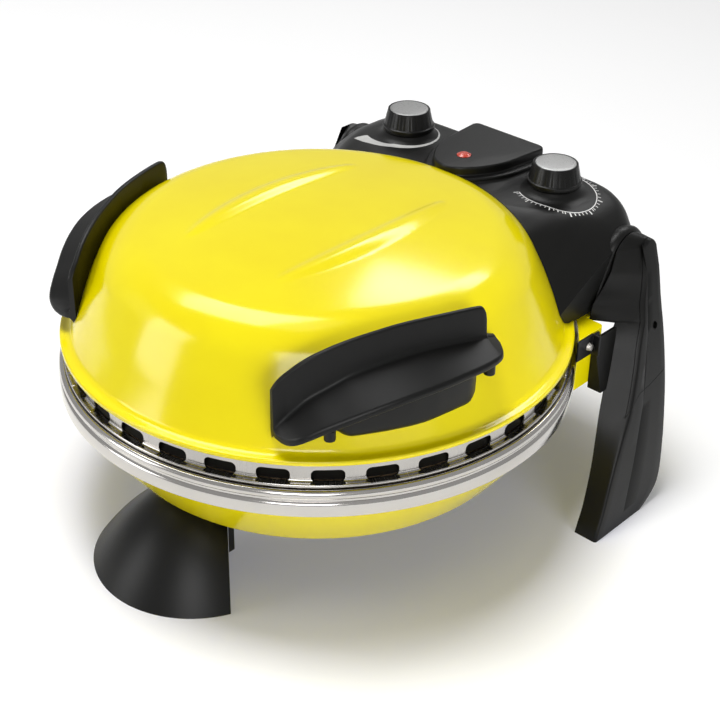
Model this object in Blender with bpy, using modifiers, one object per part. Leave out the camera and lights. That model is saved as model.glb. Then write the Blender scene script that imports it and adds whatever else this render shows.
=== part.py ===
"""Electric pizza maker: a round pan and a domed lid that opens on two splayed rear legs.

Metres, +Z up. The front faces -Y and +X is the right side seen from the front. Pieces are built in oven
coordinates, with the pan's axis at x = y = 0 and the floor at z = 0, and hang on empties: one for the
base, one on the lid's hinge axis and one on each knob's axis. The base's empty is shifted so that the
middle of the whole object's footprint lies on the origin.
"""

import math

import bmesh
import bpy
from mathutils import Matrix, Vector

MM = 0.001

# Clearances
GAP = 0.3 * MM
SHEET = 1.0 * MM

# Round forms shared by the pan and the lid
RIM_RADIUS = 172 * MM
PARTING_Z = 116.5 * MM
TURN_STEPS = 54
INNER_STEPS = 27

# Lid dome
VENT_RING_HEIGHT = 17.5 * MM
DOME_RISE = 78 * MM
DOME_WALL = 1.6 * MM
CROWN_RADIUS = 630 * MM
SHOULDER_INSET = 38.8 * MM
SHOULDER_FILLET = 26 * MM
WAIST_INSET = 19.5 * MM
WAIST_HEIGHT = 32.5 * MM
FLANGE_WIDTH = 6.7 * MM
FLANGE_HEIGHT = 3.2 * MM
FLANGE_Z = PARTING_Z + VENT_RING_HEIGHT

# Crescent ribs pressed into the lid's crown
RIB_HALF_LENGTH = 77 * MM
RIB_END_X = 42 * MM
RIB_BULGE = 12.5 * MM
RIB_HALF_WIDTH = 4.5 * MM
RIB_HEIGHT = 1.8 * MM

# Vent ring under the lid's flange
VENT_RADIUS = RIM_RADIUS - 6 * MM
VENT_COUNT = 32
VENT_SPAN = math.radians(7.0)
VENT_TURN = math.radians(1.7)
VENT_SLOT_HEIGHT = 8.5 * MM
VENT_SLOT_Z = FLANGE_Z - 11.2 * MM
VENT_BEAD_OUT = 4.5 * MM
VENT_BEAD_HEIGHT = 3.0 * MM

# Pan and its steel rim band
BAND_RADIUS = RIM_RADIUS + 2.6 * MM
BAND_HEIGHT = 10.0 * MM
BAND_BOTTOM_Z = PARTING_Z - 17.5 * MM
BEAD_RADIUS = 3.1 * MM
PAN_WALL = 1.6 * MM
PAN_DEPTH = 49 * MM
PAN_SLOPE = 0.74
PAN_FOOT_FILLET = 18 * MM

# Baking chamber
STONE_RADIUS = 155 * MM
STONE_THICKNESS = 12 * MM
STONE_TOP_Z = PARTING_Z - 4.2 * MM
STONE_MARGIN = 4.5 * MM
LEDGE_WIDTH = 13 * MM
REFLECTOR_DEPTH = 32 * MM
UPPER_REFLECTOR_RISE = 38.5 * MM
REFLECTOR_SLOPE = 16.5 * MM
REFLECTOR_WALL_INSET = 8 * MM
REFLECTOR_SHEET = 0.8 * MM

# Tubular heating elements
ELEMENT_RADIUS = 3.2 * MM
ELEMENT_OUTER = 112 * MM
ELEMENT_INNER = 76 * MM
ELEMENT_CLEARANCE = 9 * MM
ELEMENT_START = math.radians(97)
ELEMENT_GAP = math.radians(48)
TERMINAL_SIZE = Vector((36, 7, 12)) * MM
ELEMENT_STEPS = 24
TERMINAL_REACH = 11 * MM
CLIP_WIDTH = 6 * MM
CLIP_PLAY = 0.8 * MM
CLIP_SHEET = 1.5 * MM
CLIP_STEPS = (4, 10, 17)

# Lid hinge, one pin on each side
HINGE_Y = 171 * MM
HINGE_Z = 164 * MM
ARM_RADIUS = 19 * MM
ARM_SLOPE = math.radians(63)
COLLAR_RIM = 2.6 * MM
COLLAR_LENGTH = 9 * MM
COLLAR_TAPER = 3 * MM
COLLAR_PROUD = 0.8 * MM
PIN_RADIUS = 5 * MM
PIN_BOSS_WALL = 4 * MM
PIN_BOSS_LENGTH = 14 * MM
PIN_IN_LEG = 9 * MM

# Control housing
HOUSING_HALF = 128.2 * MM
HOUSING_WALL = 2.6 * MM
HOUSING_REAR_Y = 205 * MM
HOUSING_BOTTOM_Z = FLANGE_Z + 2 * MM
PANEL_Z = 197 * MM
HOUSING_FRONT_Y = 90 * MM

# Raised pad between the knobs
PAD_HEIGHT = 10 * MM
PAD_LEDGE = 3.5 * MM
PAD_LEDGE_WIDTH = 7 * MM
PAD_HALF_WIDTH = 33 * MM
PAD_FRONT_Y = 124 * MM
PAD_REAR_Y = 199 * MM
LENS_Y = 147 * MM
LENS_RADIUS = 5.2 * MM
LENS_RISE = 1.6 * MM

# Knobs
KNOB_X = 67.7 * MM
KNOB_Y = 163.8 * MM
KNOB_HEIGHT = 15 * MM
KNOB_BASE_RADIUS = 19.2 * MM
KNOB_TOP_RADIUS = 15.5 * MM
KNOB_SKIRT = 3.0 * MM
KNOB_FLUTES = 20
KNOB_FLUTE_DEPTH = 0.35 * MM
CAP_RADIUS = 14.2 * MM
CAP_THICKNESS = 1.2 * MM
PEDESTAL_HEIGHT = 5.4 * MM
PEDESTAL_RADIUS = 22 * MM
SHAFT_RADIUS = 3 * MM
SHAFT_BELOW_PANEL = 9 * MM
SWITCH_BODY = Vector((34, 34, 22)) * MM

# Cord gland in the housing's rear wall
GLAND_X = -0.655 * HOUSING_HALF
GLAND_Z = HOUSING_BOTTOM_Z + 18 * MM
GLAND_RADIUS = 8 * MM
GLAND_BORE = 3.6 * MM
GLAND_REACH = 8 * MM

# Rear legs: the outer face leans in with height, and more so near the top
LEG_LEAN = 0.12
LEG_BEND = 0.8
LEG_THICKNESS = 18 * MM
LEG_INNER_X = HOUSING_HALF + COLLAR_PROUD + 2 * GAP
LEG_BOSS_Z = (90 * MM, 128 * MM)
LEG_BOSS_Y = (116 * MM, 162 * MM)
LEG_BOSS_OVERLAP = 1.0 * MM

# The leg's arm: its bottom, its outer face's round top and the bulge that meets the leg's front
ARM_BOTTOM_Z = FLANGE_Z - 3 * MM
ARM_TOP_WIDTH = 13.3 * MM
ARM_TOP = Vector((179.5, 174)) * MM
ARM_TOP_RADIUS = 5 * MM
ARM_EDGE = 2 * MM
ARM_MIDDLE = Vector((172, 155)) * MM
ARM_BULGE = 3.2 * MM
ARM_REAR_INNER_Y = 181 * MM
ARM_REAR_OUTER_Y = 176.8 * MM
ARM_DROP = 5 * MM

# Cover let into the leg's outer side
COVER_THICKNESS = 2.6 * MM
COVER_SEAM = [(120, 72), (132, 82), (140.6, 86.6), (151.7, 88.2), (168.4, 92.1), (196, 101)]
COVER_TOP_Z = 192 * MM
COVER_DEPTH = 80 * MM
COVER_STEPS = 6
COVER_HOLE_RADIUS = 2.6 * MM
COVER_HOLE = Vector((166, 125.3)) * MM

# Hinge blocks on the pan's rear corners and their steel brackets
BLOCK_OUTER_X = LEG_INNER_X + 13.8 * MM
BLOCK_WIDTH = 31.4 * MM
BLOCK_Y = (98 * MM, 129.5 * MM)
BLOCK_REAR_Y = 139 * MM
BLOCK_Z = (94 * MM, FLANGE_Z - 0.8 * MM)
BLOCK_CORNERS = (0, 3 * MM, 4 * MM, 0, 3 * MM, 4 * MM)
BRACKET_SHEET = 1.6 * MM
BRACKET_Y = (98 * MM, 122 * MM)
BRACKET_HEIGHT = 15 * MM
BRACKET_REACH = 7 * MM
SCREW_RADIUS = 3.2 * MM
SCREW_HEAD = 2.0 * MM

# Front foot: a hollow dome whose rear is cut off along two upright planes that meet at an edge
FOOT_RADIUS = 70 * MM
FOOT_HEIGHT = 52 * MM
FOOT_Y = 57.5 * MM - RIM_RADIUS
FOOT_WALL = 4 * MM
FOOT_STEPS = 9
FOOT_CUT_Y = FOOT_Y + 26.5 * MM
FOOT_CUT_SLOPE = 0.868
FOOT_BRACKET_HALF = 38 * MM
FOOT_BRACKET_SHEET = 5 * MM
FOOT_BRACKET_Z = 22 * MM

# Handles: a shield along a chord of the lid and a wing that stands out of it, bowed in its middle
HANDLE_FRONT = Vector((0.5494, -0.7733)) * RIM_RADIUS
HANDLE_REAR = Vector((0.8547, -0.0407)) * RIM_RADIUS
HANDLE_BOW = 4.5 * MM
HANDLE_BOW_RISE = 0.55
HANDLE_BOW_MIDDLE = 0.56
HANDLE_BOW_SPAN = 0.5
SHIELD_WALL = 3.5 * MM
SHIELD_SKIRT = 9 * MM
GRIP_EDGE = 6.5 * MM
GRIP_WALL = 3.5 * MM
HANDLE_SCREW_RADIUS = 3.6 * MM
HANDLE_SCREW_LENGTH = 7 * MM
HANDLE_SCREWS = (0.20, 0.965)
HANDLE_BRACKET_DROP = 1.4 * MM
HANDLE_BRACKET_DEPTH = 27 * MM
HANDLE_BRACKET_LOWEST = FLANGE_Z + 15.5 * MM
HANDLE_BRACKET_INSET = 7.5 * MM
HANDLE_BRACKET_SHARES = (0.25, 0.34, 0.45, 0.56, 0.68, 0.80, 0.86, 0.90)

# Shield and wing along the chord: share of its length, crease height, shield top height, wing width
# and the height of the wing's outer edge
HANDLE_STATIONS = [
    (0.000, 150, 177, 4.0, 149.0),
    (0.030, 155, 183, 14.0, 152.5),
    (0.072, 161, 187, 21.5, 157.0),
    (0.150, 169, 194, 24.0, 161.5),
    (0.240, 174, 198, 26.0, 165.5),
    (0.340, 179, 201, 28.5, 170.0),
    (0.450, 182, 203, 30.3, 174.0),
    (0.560, 184, 204.5, 31.0, 177.0),
    (0.680, 185.5, 205, 30.4, 179.0),
    (0.800, 185.5, 205, 28.2, 180.5),
    (0.900, 185, 205, 25.0, 181.0),
    (0.965, 184.5, 203.5, 22.0, 181.5),
    (1.000, 184, 198, 19.5, 181.5),
    (1.020, 184, 186, 16.0, 182.0),
    (1.040, 184, 185.4, 9.0, 182.5),
]

# Housing cross-sections: distance from the middle, panel height drop, rear inset, y where the front
# slope meets the panel, height of the slope's foot and rear corner radius
HOUSING_STATIONS = [
    (0, 0.0, 0.0, 104, 188, 14),
    (62, 0.0, 0.0, 112, 183, 14),
    (85, 0.3, 0.6, 122, 179, 15),
    (98, 1.2, 3.5, 133, 169, 17),
    (108, 4.5, 7.0, 143, 160, 18),
    (116, 9.5, 11.5, 147, 154, 19),
    (123, 16.0, 15.0, 150, 148, 19),
    (128.2, 21.0, 18.0, 152, 143, 17),
]

# Leg plan sections: height, front edge y on the outer face, front edge y on the inner face, rear y
LEG_STATIONS = [
    (0, 79, 79, 134),
    (7, 82, 83, 148),
    (17, 88, 89, 159.5),
    (41, 101, 100, 163),
    (62, 115, 108, 167),
    (78, 127, 115, 170),
    (100, 138.5, 127, 173.5),
    (118, 147, 134, 176.5),
    (131.5, 156.0, 140.4, 178.2),
]

ROOT = "base"
LID = "lid_hinge"
FRAMES = {}


def clear_scene():
    for obj in list(bpy.data.objects):
        bpy.data.objects.remove(obj, do_unlink=True)


def collection(name):
    found = bpy.data.collections.get(name)
    if found is None:
        found = bpy.data.collections.new(name)
        bpy.context.scene.collection.children.link(found)
    return found


def look(name, color, roughness, metallic=0.0):
    """Principled material with the piece's own colour."""
    material = bpy.data.materials.new(name)
    material.use_nodes = True
    shader = material.node_tree.nodes["Principled BSDF"]
    shader.inputs["Base Color"].default_value = (*color, 1.0)
    shader.inputs["Roughness"].default_value = roughness
    shader.inputs["Metallic"].default_value = metallic
    material.diffuse_color = (*color, 1.0)
    return material


def add_frame(name, position, parent=None):
    """Empty that carries a rigid group of pieces; position is in oven coordinates."""
    empty = bpy.data.objects.new(name, None)
    collection("pizza_maker").objects.link(empty)
    position = Vector(position)
    empty.location = position
    if parent is not None:
        empty.parent = FRAMES[parent][0]
        empty.location = position - FRAMES[parent][1]
    FRAMES[name] = (empty, position)


def place(obj, frame, position=(0, 0, 0)):
    """Hangs an object on a frame; position is in oven coordinates."""
    empty, origin = FRAMES[frame]
    obj.parent = empty
    obj.location = Vector(position) - origin
    return obj


def mesh_object(name, bm, material, frame, position=(0, 0, 0), flat_angle=40):
    """Closes a bmesh into a named object with its normals out."""
    bmesh.ops.recalc_face_normals(bm, faces=bm.faces)
    mesh = bpy.data.meshes.new(name)
    bm.to_mesh(mesh)
    bm.free()
    mesh.shade_smooth()
    mesh.set_sharp_from_angle(angle=math.radians(flat_angle))
    return link(name, mesh, material, frame, position)


def link(name, data, material, frame, position=(0, 0, 0)):
    obj = bpy.data.objects.new(name, data)
    if material is None:
        collection("cutters").objects.link(obj)
        obj.display_type = "WIRE"
        obj.hide_render = True
    else:
        collection("pizza_maker").objects.link(obj)
        data.materials.append(material)
    return place(obj, frame, position)


def round_corner(before, corner, after, radius, steps):
    """Points of the arc that rounds one corner, limited by the lengths beside it."""
    to_before = before - corner
    to_after = after - corner
    half = to_before.angle(to_after) / 2
    if radius <= 0 or half > math.radians(89):
        return [corner]
    shortest = min(to_before.length, to_after.length)
    reach = min(radius / math.tan(half), 0.49 * shortest)
    fitted = reach * math.tan(half)
    start = corner + to_before.normalized() * reach
    middle = (to_before.normalized() + to_after.normalized()).normalized()
    centre = corner + middle * (fitted / math.sin(half))
    first = math.atan2(start.y - centre.y, start.x - centre.x)
    end = corner + to_after.normalized() * reach
    sweep = math.atan2(end.y - centre.y, end.x - centre.x) - first
    sweep = (sweep + math.pi) % math.tau - math.pi
    turns = [first + sweep * step / steps for step in range(steps + 1)]
    return [centre + Vector((math.cos(turn), math.sin(turn))) * fitted for turn in turns]


def rounded(points, radii, steps=4, closed=False):
    """Path or outline whose corners are rounded by the radii."""
    out = []
    count = len(points)
    for index, (point, radius) in enumerate(zip(points, radii)):
        ends = not closed and index in (0, count - 1)
        if ends:
            out.append(point)
            continue
        before = points[index - 1]
        after = points[(index + 1) % count]
        out.extend(round_corner(before, point, after, radius, steps))
    return out


def arc(centre, radius, start, end, steps):
    """Points on a circle between two angles, both included."""
    turns = [start + (end - start) * step / steps for step in range(steps + 1)]
    return [Vector(centre) + Vector((math.cos(turn), math.sin(turn))) * radius for turn in turns]


def offset_path(points, distance):
    """Open path moved sideways, to the left of its direction for a positive distance."""
    moved = []
    for index, point in enumerate(points):
        normals = []
        for a, b in ((index - 1, index), (index, index + 1)):
            if a < 0 or b >= len(points):
                continue
            along = (points[b] - points[a]).normalized()
            normals.append(Vector((-along.y, along.x)))
        normal = sum(normals, Vector((0, 0))).normalized()
        stretch = max(normal.dot(normals[0]), 0.3)
        moved.append(point + normal * (distance / stretch))
    return moved


def turned(name, profile, material, frame, steps=TURN_STEPS, wall=0.0, closed=False, centre=(0, 0, 0)):
    """Profile of (radius, z) turned about a vertical axis, as a shell where wall is given."""
    bm = bmesh.new()
    verts = [bm.verts.new((point.x, 0, point.y)) for point in profile]
    pairs = list(zip(verts, verts[1:]))
    if closed:
        pairs.append((verts[-1], verts[0]))
    for a, b in pairs:
        bm.edges.new((a, b))
    mesh = bpy.data.meshes.new(name)
    bm.to_mesh(mesh)
    bm.free()
    obj = link(name, mesh, material, frame, centre)
    screw = obj.modifiers.new("turn", "SCREW")
    screw.axis = "Z"
    screw.angle = math.tau
    screw.steps = steps
    screw.render_steps = steps
    screw.use_smooth_shade = True
    screw.use_merge_vertices = True
    screw.merge_threshold = 0.00001
    if wall:
        shell = obj.modifiers.new("wall", "SOLIDIFY")
        shell.thickness = wall
        shell.offset = -1
        shell.use_even_offset = True
    return obj


def lofted(name, sections, material, frame, side=1, flat_angle=40, position=(0, 0, 0)):
    """Solid through rings with equal numbers of points; side -1 mirrors it in x."""
    bm = bmesh.new()
    rings = [[bm.verts.new((side * p[0], p[1], p[2])) for p in ring] for ring in sections]
    for ring, following in zip(rings, rings[1:]):
        for index in range(len(ring)):
            after = (index + 1) % len(ring)
            bm.faces.new((ring[index], ring[after], following[after], following[index]))
    bm.faces.new(rings[0])
    bm.faces.new(rings[-1])
    return mesh_object(name, bm, material, frame, position, flat_angle)


def extruded(name, outline, plane, start, end, material, frame, side=1):
    """Flat outline pushed along the axis that its plane leaves free."""
    rings = []
    for level in (start, end):
        if plane == "yz":
            rings.append([(level, p.x, p.y) for p in outline])
        elif plane == "xz":
            rings.append([(p.x, level, p.y) for p in outline])
        else:
            rings.append([(p.x, p.y, level) for p in outline])
    return lofted(name, rings, material, frame, side)


def box(name, low, high, material, frame, side=1):
    """Box between two corners given for the right side."""
    low = Vector(low)
    high = Vector(high)
    middle = (low + high) / 2
    middle.x *= side
    size = high - low
    bm = bmesh.new()
    scale = Matrix.Diagonal((*size, 1))
    bmesh.ops.create_cube(bm, size=1, matrix=Matrix.Translation(middle) @ scale)
    return mesh_object(name, bm, material, frame)


def rod(name, start, end, radius, material, frame, segments=16, end_radius=None):
    """Round bar or cone between two points."""
    start = Vector(start)
    end = Vector(end)
    along = end - start
    turn = along.to_track_quat("Z", "Y").to_matrix().to_4x4()
    bm = bmesh.new()
    bmesh.ops.create_cone(
        bm,
        cap_ends=True,
        segments=segments,
        radius1=radius,
        radius2=radius if end_radius is None else end_radius,
        depth=along.length,
        matrix=Matrix.Translation((start + end) / 2) @ turn,
    )
    return mesh_object(name, bm, material, frame)


def tube(name, points, radius, material, frame, resolution=1):
    """Round wire along points."""
    curve = bpy.data.curves.new(name, "CURVE")
    curve.dimensions = "3D"
    curve.bevel_depth = radius
    curve.bevel_resolution = resolution
    curve.use_fill_caps = True
    spline = curve.splines.new("POLY")
    spline.points.add(len(points) - 1)
    for target, point in zip(spline.points, points):
        target.co = (*point, 1)
    return link(name, curve, material, frame)


def combine(obj, other, operation="DIFFERENCE"):
    """Cuts with, adds or keeps what is common with another solid."""
    modifier = obj.modifiers.new(other.name, "BOOLEAN")
    modifier.operation = operation
    modifier.object = other
    modifier.solver = "EXACT"
    return obj


def dome_profile():
    """Outer side of the lid from its crown down to the flange's lower edge."""
    top = FLANGE_Z + DOME_RISE
    shoulder_radius = RIM_RADIUS - SHOULDER_INSET
    crown = []
    for share in (0, 0.55, 1.0):
        radius = shoulder_radius * share
        crown.append(Vector((radius, top - radius ** 2 / (2 * CROWN_RADIUS))))
    foot_z = FLANGE_Z + FLANGE_HEIGHT
    side = [
        Vector((RIM_RADIUS - WAIST_INSET, FLANGE_Z + WAIST_HEIGHT)),
        Vector((RIM_RADIUS - FLANGE_WIDTH, foot_z)),
        Vector((RIM_RADIUS, foot_z)),
        Vector((RIM_RADIUS, FLANGE_Z)),
    ]
    radii = [0, 0, SHOULDER_FILLET, 0.15, 3 * MM, 2.4 * MM, 0]
    return rounded(crown + side, radii, steps=2)


def pan_profile():
    """Outer side of the pan from under the rim band down to the middle of its bottom."""
    wall_radius = BAND_RADIUS - SHEET - 2 * GAP
    bottom_z = BAND_BOTTOM_Z - PAN_DEPTH
    foot_radius = wall_radius - PAN_SLOPE * PAN_DEPTH
    points = [
        Vector((wall_radius - 1.6 * MM, BAND_BOTTOM_Z + BAND_HEIGHT - 1.5 * MM)),
        Vector((wall_radius, BAND_BOTTOM_Z)),
        Vector((foot_radius, bottom_z)),
        Vector((0, bottom_z)),
    ]
    return rounded(points, [0, 4 * MM, PAN_FOOT_FILLET, 0], steps=3)


def dome_cutter(name, frame=LID):
    """The lid's outer form grown by the gap, closed below."""
    grown = offset_path(dome_profile(), GAP)
    grown[0].x = 0
    edge = grown[-1].x
    grown.append(Vector((edge, PARTING_Z)))
    grown.append(Vector((0, PARTING_Z)))
    return turned(name, grown, None, frame)


def pan_cutter(name):
    """The pan's outer form grown by the gap, closed above."""
    grown = offset_path(pan_profile(), GAP)
    grown[-1].x = 0
    grown.insert(0, Vector((grown[0].x, PARTING_Z)))
    grown.insert(0, Vector((0, PARTING_Z)))
    return turned(name, grown, None, ROOT)


def crown_z(x, y):
    return FLANGE_Z + DOME_RISE - (x * x + y * y) / (2 * CROWN_RADIUS)


def dome_rib(name, side):
    """Low crescent that rises from the crown and tapers to both ends."""
    sections = []
    stations = 14
    for step in range(stations + 1):
        along = 2 * step / stations - 1
        y = RIB_HALF_LENGTH * along
        x = RIB_END_X + RIB_BULGE * (1 - along * along)
        taper = math.sqrt(max(1 - along * along, 0.03))
        half = RIB_HALF_WIDTH * taper
        rise = RIB_HEIGHT * taper
        ring = []
        for across, height in ((-1, -0.8), (-0.55, 0.75), (0, 1.0), (0.55, 0.75), (1, -0.8)):
            px = x + half * across
            lift = rise * height if height > 0 else height * MM
            ring.append((px, y, crown_z(px, y) + lift))
        sections.append(ring)
    return lofted(name, sections, None, LID, side)


def build_dome(yellow):
    dome = turned("lid_dome", dome_profile(), yellow, LID, wall=DOME_WALL)
    for side, label in ((1, "right"), (-1, "left")):
        combine(dome, dome_rib(f"{label}_rib_form", side), "UNION")
    return dome


def build_vent_ring(steel):
    """Slotted ring with an outward curl at its foot."""
    bottom = PARTING_Z + GAP / 2
    top = FLANGE_Z + FLANGE_HEIGHT - DOME_WALL - GAP
    inner = VENT_RADIUS - SHEET
    curl = bottom + VENT_BEAD_HEIGHT
    points = [
        Vector((VENT_RADIUS, top)),
        Vector((VENT_RADIUS, curl)),
        Vector((VENT_RADIUS + VENT_BEAD_OUT, curl - 0.4 * MM)),
        Vector((VENT_RADIUS + VENT_BEAD_OUT, bottom)),
        Vector((inner, bottom)),
        Vector((inner, top)),
    ]
    profile = rounded(points, [0, 0, 1.2 * MM, 1.2 * MM, 0, 0], steps=1, closed=True)
    ring = turned("vent_ring", profile, steel, LID, closed=True)
    slots = bmesh.new()
    for index in range(VENT_COUNT):
        turn = VENT_TURN + index * math.tau / VENT_COUNT
        half = VENT_RADIUS * VENT_SPAN / 2
        corner = [Vector((-half, -VENT_SLOT_HEIGHT / 2)), Vector((half, -VENT_SLOT_HEIGHT / 2)),
                  Vector((half, VENT_SLOT_HEIGHT / 2)), Vector((-half, VENT_SLOT_HEIGHT / 2))]
        outline = rounded(corner, [2.6 * MM] * 4, steps=1, closed=True)
        rings = []
        for radius in (inner - 4 * MM, VENT_RADIUS + 2 * MM):
            spin = Matrix.Rotation(turn, 3, "Z")
            ring_points = [Vector((p.x, -radius, VENT_SLOT_Z + p.y)) for p in outline]
            rings.append([slots.verts.new(spin @ point) for point in ring_points])
        count = len(outline)
        for i in range(count):
            after = (i + 1) % count
            slots.faces.new((rings[0][i], rings[0][after], rings[1][after], rings[1][i]))
        slots.faces.new(rings[0])
        slots.faces.new(rings[1])
    combine(ring, mesh_object("vent_slot_forms", slots, None, LID))
    return ring


def build_upper_reflector(steel):
    """Steel dish that closes the lid's inside above the element."""
    rim = VENT_RADIUS - SHEET - GAP
    rim_z = PARTING_Z + 3 * MM
    top_z = rim_z + UPPER_REFLECTOR_RISE
    points = [
        Vector((0, top_z)),
        Vector((rim - REFLECTOR_SLOPE, top_z)),
        Vector((rim, rim_z)),
    ]
    profile = rounded(points, [0, 8 * MM, 0], steps=2)
    return turned("upper_reflector", profile, steel, LID, steps=INNER_STEPS, wall=REFLECTOR_SHEET)


def element_route(z):
    """Hairpin of two rings that starts and ends at the rear terminals."""
    sweep = math.tau - ELEMENT_GAP
    turn_back = ELEMENT_START + sweep
    route = []
    for step in range(ELEMENT_STEPS + 1):
        route.append((ELEMENT_START + sweep * step / ELEMENT_STEPS, ELEMENT_OUTER))
    middle = (ELEMENT_OUTER + ELEMENT_INNER) / 2
    bulge = (ELEMENT_OUTER - ELEMENT_INNER) / 2
    for step in range(1, 5):
        lean = math.pi * step / 5
        route.append((turn_back + math.sin(lean) * bulge / middle, middle + math.cos(lean) * bulge))
    last = math.pi - ELEMENT_START
    for step in range(ELEMENT_STEPS + 1):
        route.append((turn_back + (last - turn_back) * step / ELEMENT_STEPS, ELEMENT_INNER))
    points = [Vector((math.cos(turn) * radius, math.sin(turn) * radius, z)) for turn, radius in route]
    start_x = math.cos(ELEMENT_START) * ELEMENT_OUTER
    end_y = ELEMENT_OUTER + TERMINAL_REACH
    points.insert(0, Vector((start_x, end_y, z)))
    points.append(Vector((-start_x, ELEMENT_OUTER - TERMINAL_REACH, z)))
    points.append(Vector((-start_x, end_y, z)))
    return points


def build_element(prefix, z, carrier_z, frame, steel, ceramic):
    """Heating element, its terminal block and three clips; carrier_z is the reflector's face."""
    tube(f"{prefix}_heating_element", element_route(z), ELEMENT_RADIUS, steel, frame)
    away = math.copysign(1, carrier_z - z)
    face_y = ELEMENT_OUTER + TERMINAL_REACH + GAP
    half = TERMINAL_SIZE / 2
    seat = carrier_z - away * GAP
    free = z - away * half.z
    low = (-half.x, face_y, min(seat, free))
    high = (half.x, face_y + TERMINAL_SIZE.y, max(seat, free))
    box(f"{prefix}_terminal_block", low, high, ceramic, frame)
    for index, step in enumerate(CLIP_STEPS):
        turn = ELEMENT_START + (math.tau - ELEMENT_GAP) * step / ELEMENT_STEPS
        build_clip(f"{prefix}_element_clip_{index + 1}", turn, z, seat, away, frame, steel)


def build_clip(name, turn, z, foot_z, away, frame, steel):
    """Strap that stands on the reflector and cradles the outer ring."""
    seat = z + away * (ELEMENT_RADIUS + CLIP_PLAY)
    hook = z - away * ELEMENT_RADIUS / 2
    outer = ELEMENT_OUTER + ELEMENT_RADIUS + CLIP_PLAY
    inner = ELEMENT_OUTER - ELEMENT_RADIUS - CLIP_PLAY
    outline = [
        Vector((inner - CLIP_SHEET, hook)),
        Vector((inner, hook)),
        Vector((inner, seat)),
        Vector((outer, seat)),
        Vector((outer, hook)),
        Vector((outer + CLIP_SHEET, hook)),
        Vector((outer + CLIP_SHEET, foot_z)),
        Vector((inner - CLIP_SHEET, foot_z)),
    ]
    spin = Matrix.Rotation(turn, 3, "Z")
    rings = []
    for across in (-CLIP_WIDTH / 2, CLIP_WIDTH / 2):
        rings.append([spin @ Vector((p.x, across, p.y)) for p in outline])
    return lofted(name, rings, steel, frame)


def build_rim_band(steel):
    """Band around the pan's rim with a round bead on its upper edge."""
    outer = BAND_RADIUS
    inner = BAND_RADIUS - SHEET
    neck_z = BAND_BOTTOM_Z + BAND_HEIGHT
    bead_z = PARTING_Z - GAP / 2 - BEAD_RADIUS
    bead_r = BAND_RADIUS - 0.2 * MM - BEAD_RADIUS
    profile = [
        Vector((outer - 2 * MM, neck_z)),
        Vector((outer, neck_z - 1.2 * MM)),
        Vector((outer, BAND_BOTTOM_Z)),
        Vector((inner, BAND_BOTTOM_Z)),
        Vector((inner - 1.4 * MM, neck_z - 0.6 * MM)),
    ]
    low = math.atan2(neck_z - bead_z, inner - 1.6 * MM - bead_r)
    high = math.atan2(neck_z + 0.4 * MM - bead_z, outer - 1.8 * MM - bead_r)
    profile += arc((bead_r, bead_z), BEAD_RADIUS, low, high - math.tau, 8)
    return turned("rim_band", profile, steel, ROOT, closed=True)


def build_pan(yellow):
    return turned("lower_pan", pan_profile(), yellow, ROOT, wall=PAN_WALL)


def build_lower_reflector(steel):
    """Steel dish inside the pan with the ledge that carries the stone."""
    rim = BAND_RADIUS - 2 * BEAD_RADIUS - 1.2 * MM - GAP
    ledge_z = STONE_TOP_Z - STONE_THICKNESS - GAP
    ledge_out = STONE_RADIUS + STONE_MARGIN
    ledge_in = ledge_out - LEDGE_WIDTH
    points = [
        Vector((rim, PARTING_Z - 3 * MM)),
        Vector((ledge_out + 1 * MM, ledge_z)),
        Vector((ledge_in, ledge_z)),
        Vector((ledge_in - REFLECTOR_WALL_INSET, ledge_z - REFLECTOR_DEPTH)),
        Vector((0, ledge_z - REFLECTOR_DEPTH)),
    ]
    profile = rounded(points, [0, 0, 0, 8 * MM, 0], steps=2)
    profile = offset_path(profile, REFLECTOR_SHEET)
    profile[-1].x = 0
    return turned("lower_reflector", profile, steel, ROOT, steps=INNER_STEPS, wall=REFLECTOR_SHEET)


def build_stone(stone):
    bottom = STONE_TOP_Z - STONE_THICKNESS
    points = [
        Vector((0, STONE_TOP_Z)),
        Vector((STONE_RADIUS, STONE_TOP_Z)),
        Vector((STONE_RADIUS, bottom)),
        Vector((0, bottom)),
    ]
    profile = rounded(points, [0, 2.5 * MM, 2.5 * MM, 0], steps=2)
    return turned("baking_stone", profile, stone, ROOT)


def housing_section(station, inset, lowest):
    """Closed (y, z) outline of the housing at one station, moved inward by inset."""
    _, drop, rear_inset, shoulder_y, foot_z, corner = station
    top = PANEL_Z - drop * MM - inset
    rear = HOUSING_REAR_Y - rear_inset * MM - inset
    shoulder = Vector((shoulder_y * MM, PANEL_Z - drop * MM))
    slope = (shoulder - Vector((HOUSING_FRONT_Y, foot_z * MM))).normalized()
    meet = shoulder + Vector((slope.y, -slope.x)) * inset
    meet = meet + slope * ((top - meet.y) / slope.y)
    front_y = HOUSING_FRONT_Y + inset
    front_z = meet.y - (meet.x - front_y) * slope.y / slope.x
    points = [
        Vector((front_y, lowest)),
        Vector((front_y, front_z)),
        meet,
        Vector((rear, top)),
        Vector((rear - 2 * MM, lowest)),
    ]
    radii = [0, 0, 14 * MM, max(corner * MM - inset, MM), 0]
    return rounded(points, radii, steps=3, closed=True)


def housing_form(name, inset, lowest, material, half):
    """Housing's block through its stations, from side to side."""
    last = HOUSING_STATIONS[-1][0]
    stations = [(-s[0], *s[1:]) for s in reversed(HOUSING_STATIONS[1:])] + HOUSING_STATIONS
    sections = []
    for station in stations:
        x = station[0] / last * half
        sections.append([(x, p.x, p.y) for p in housing_section(station, inset, lowest)])
    return lofted(name, sections, material, LID, flat_angle=32)


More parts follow.
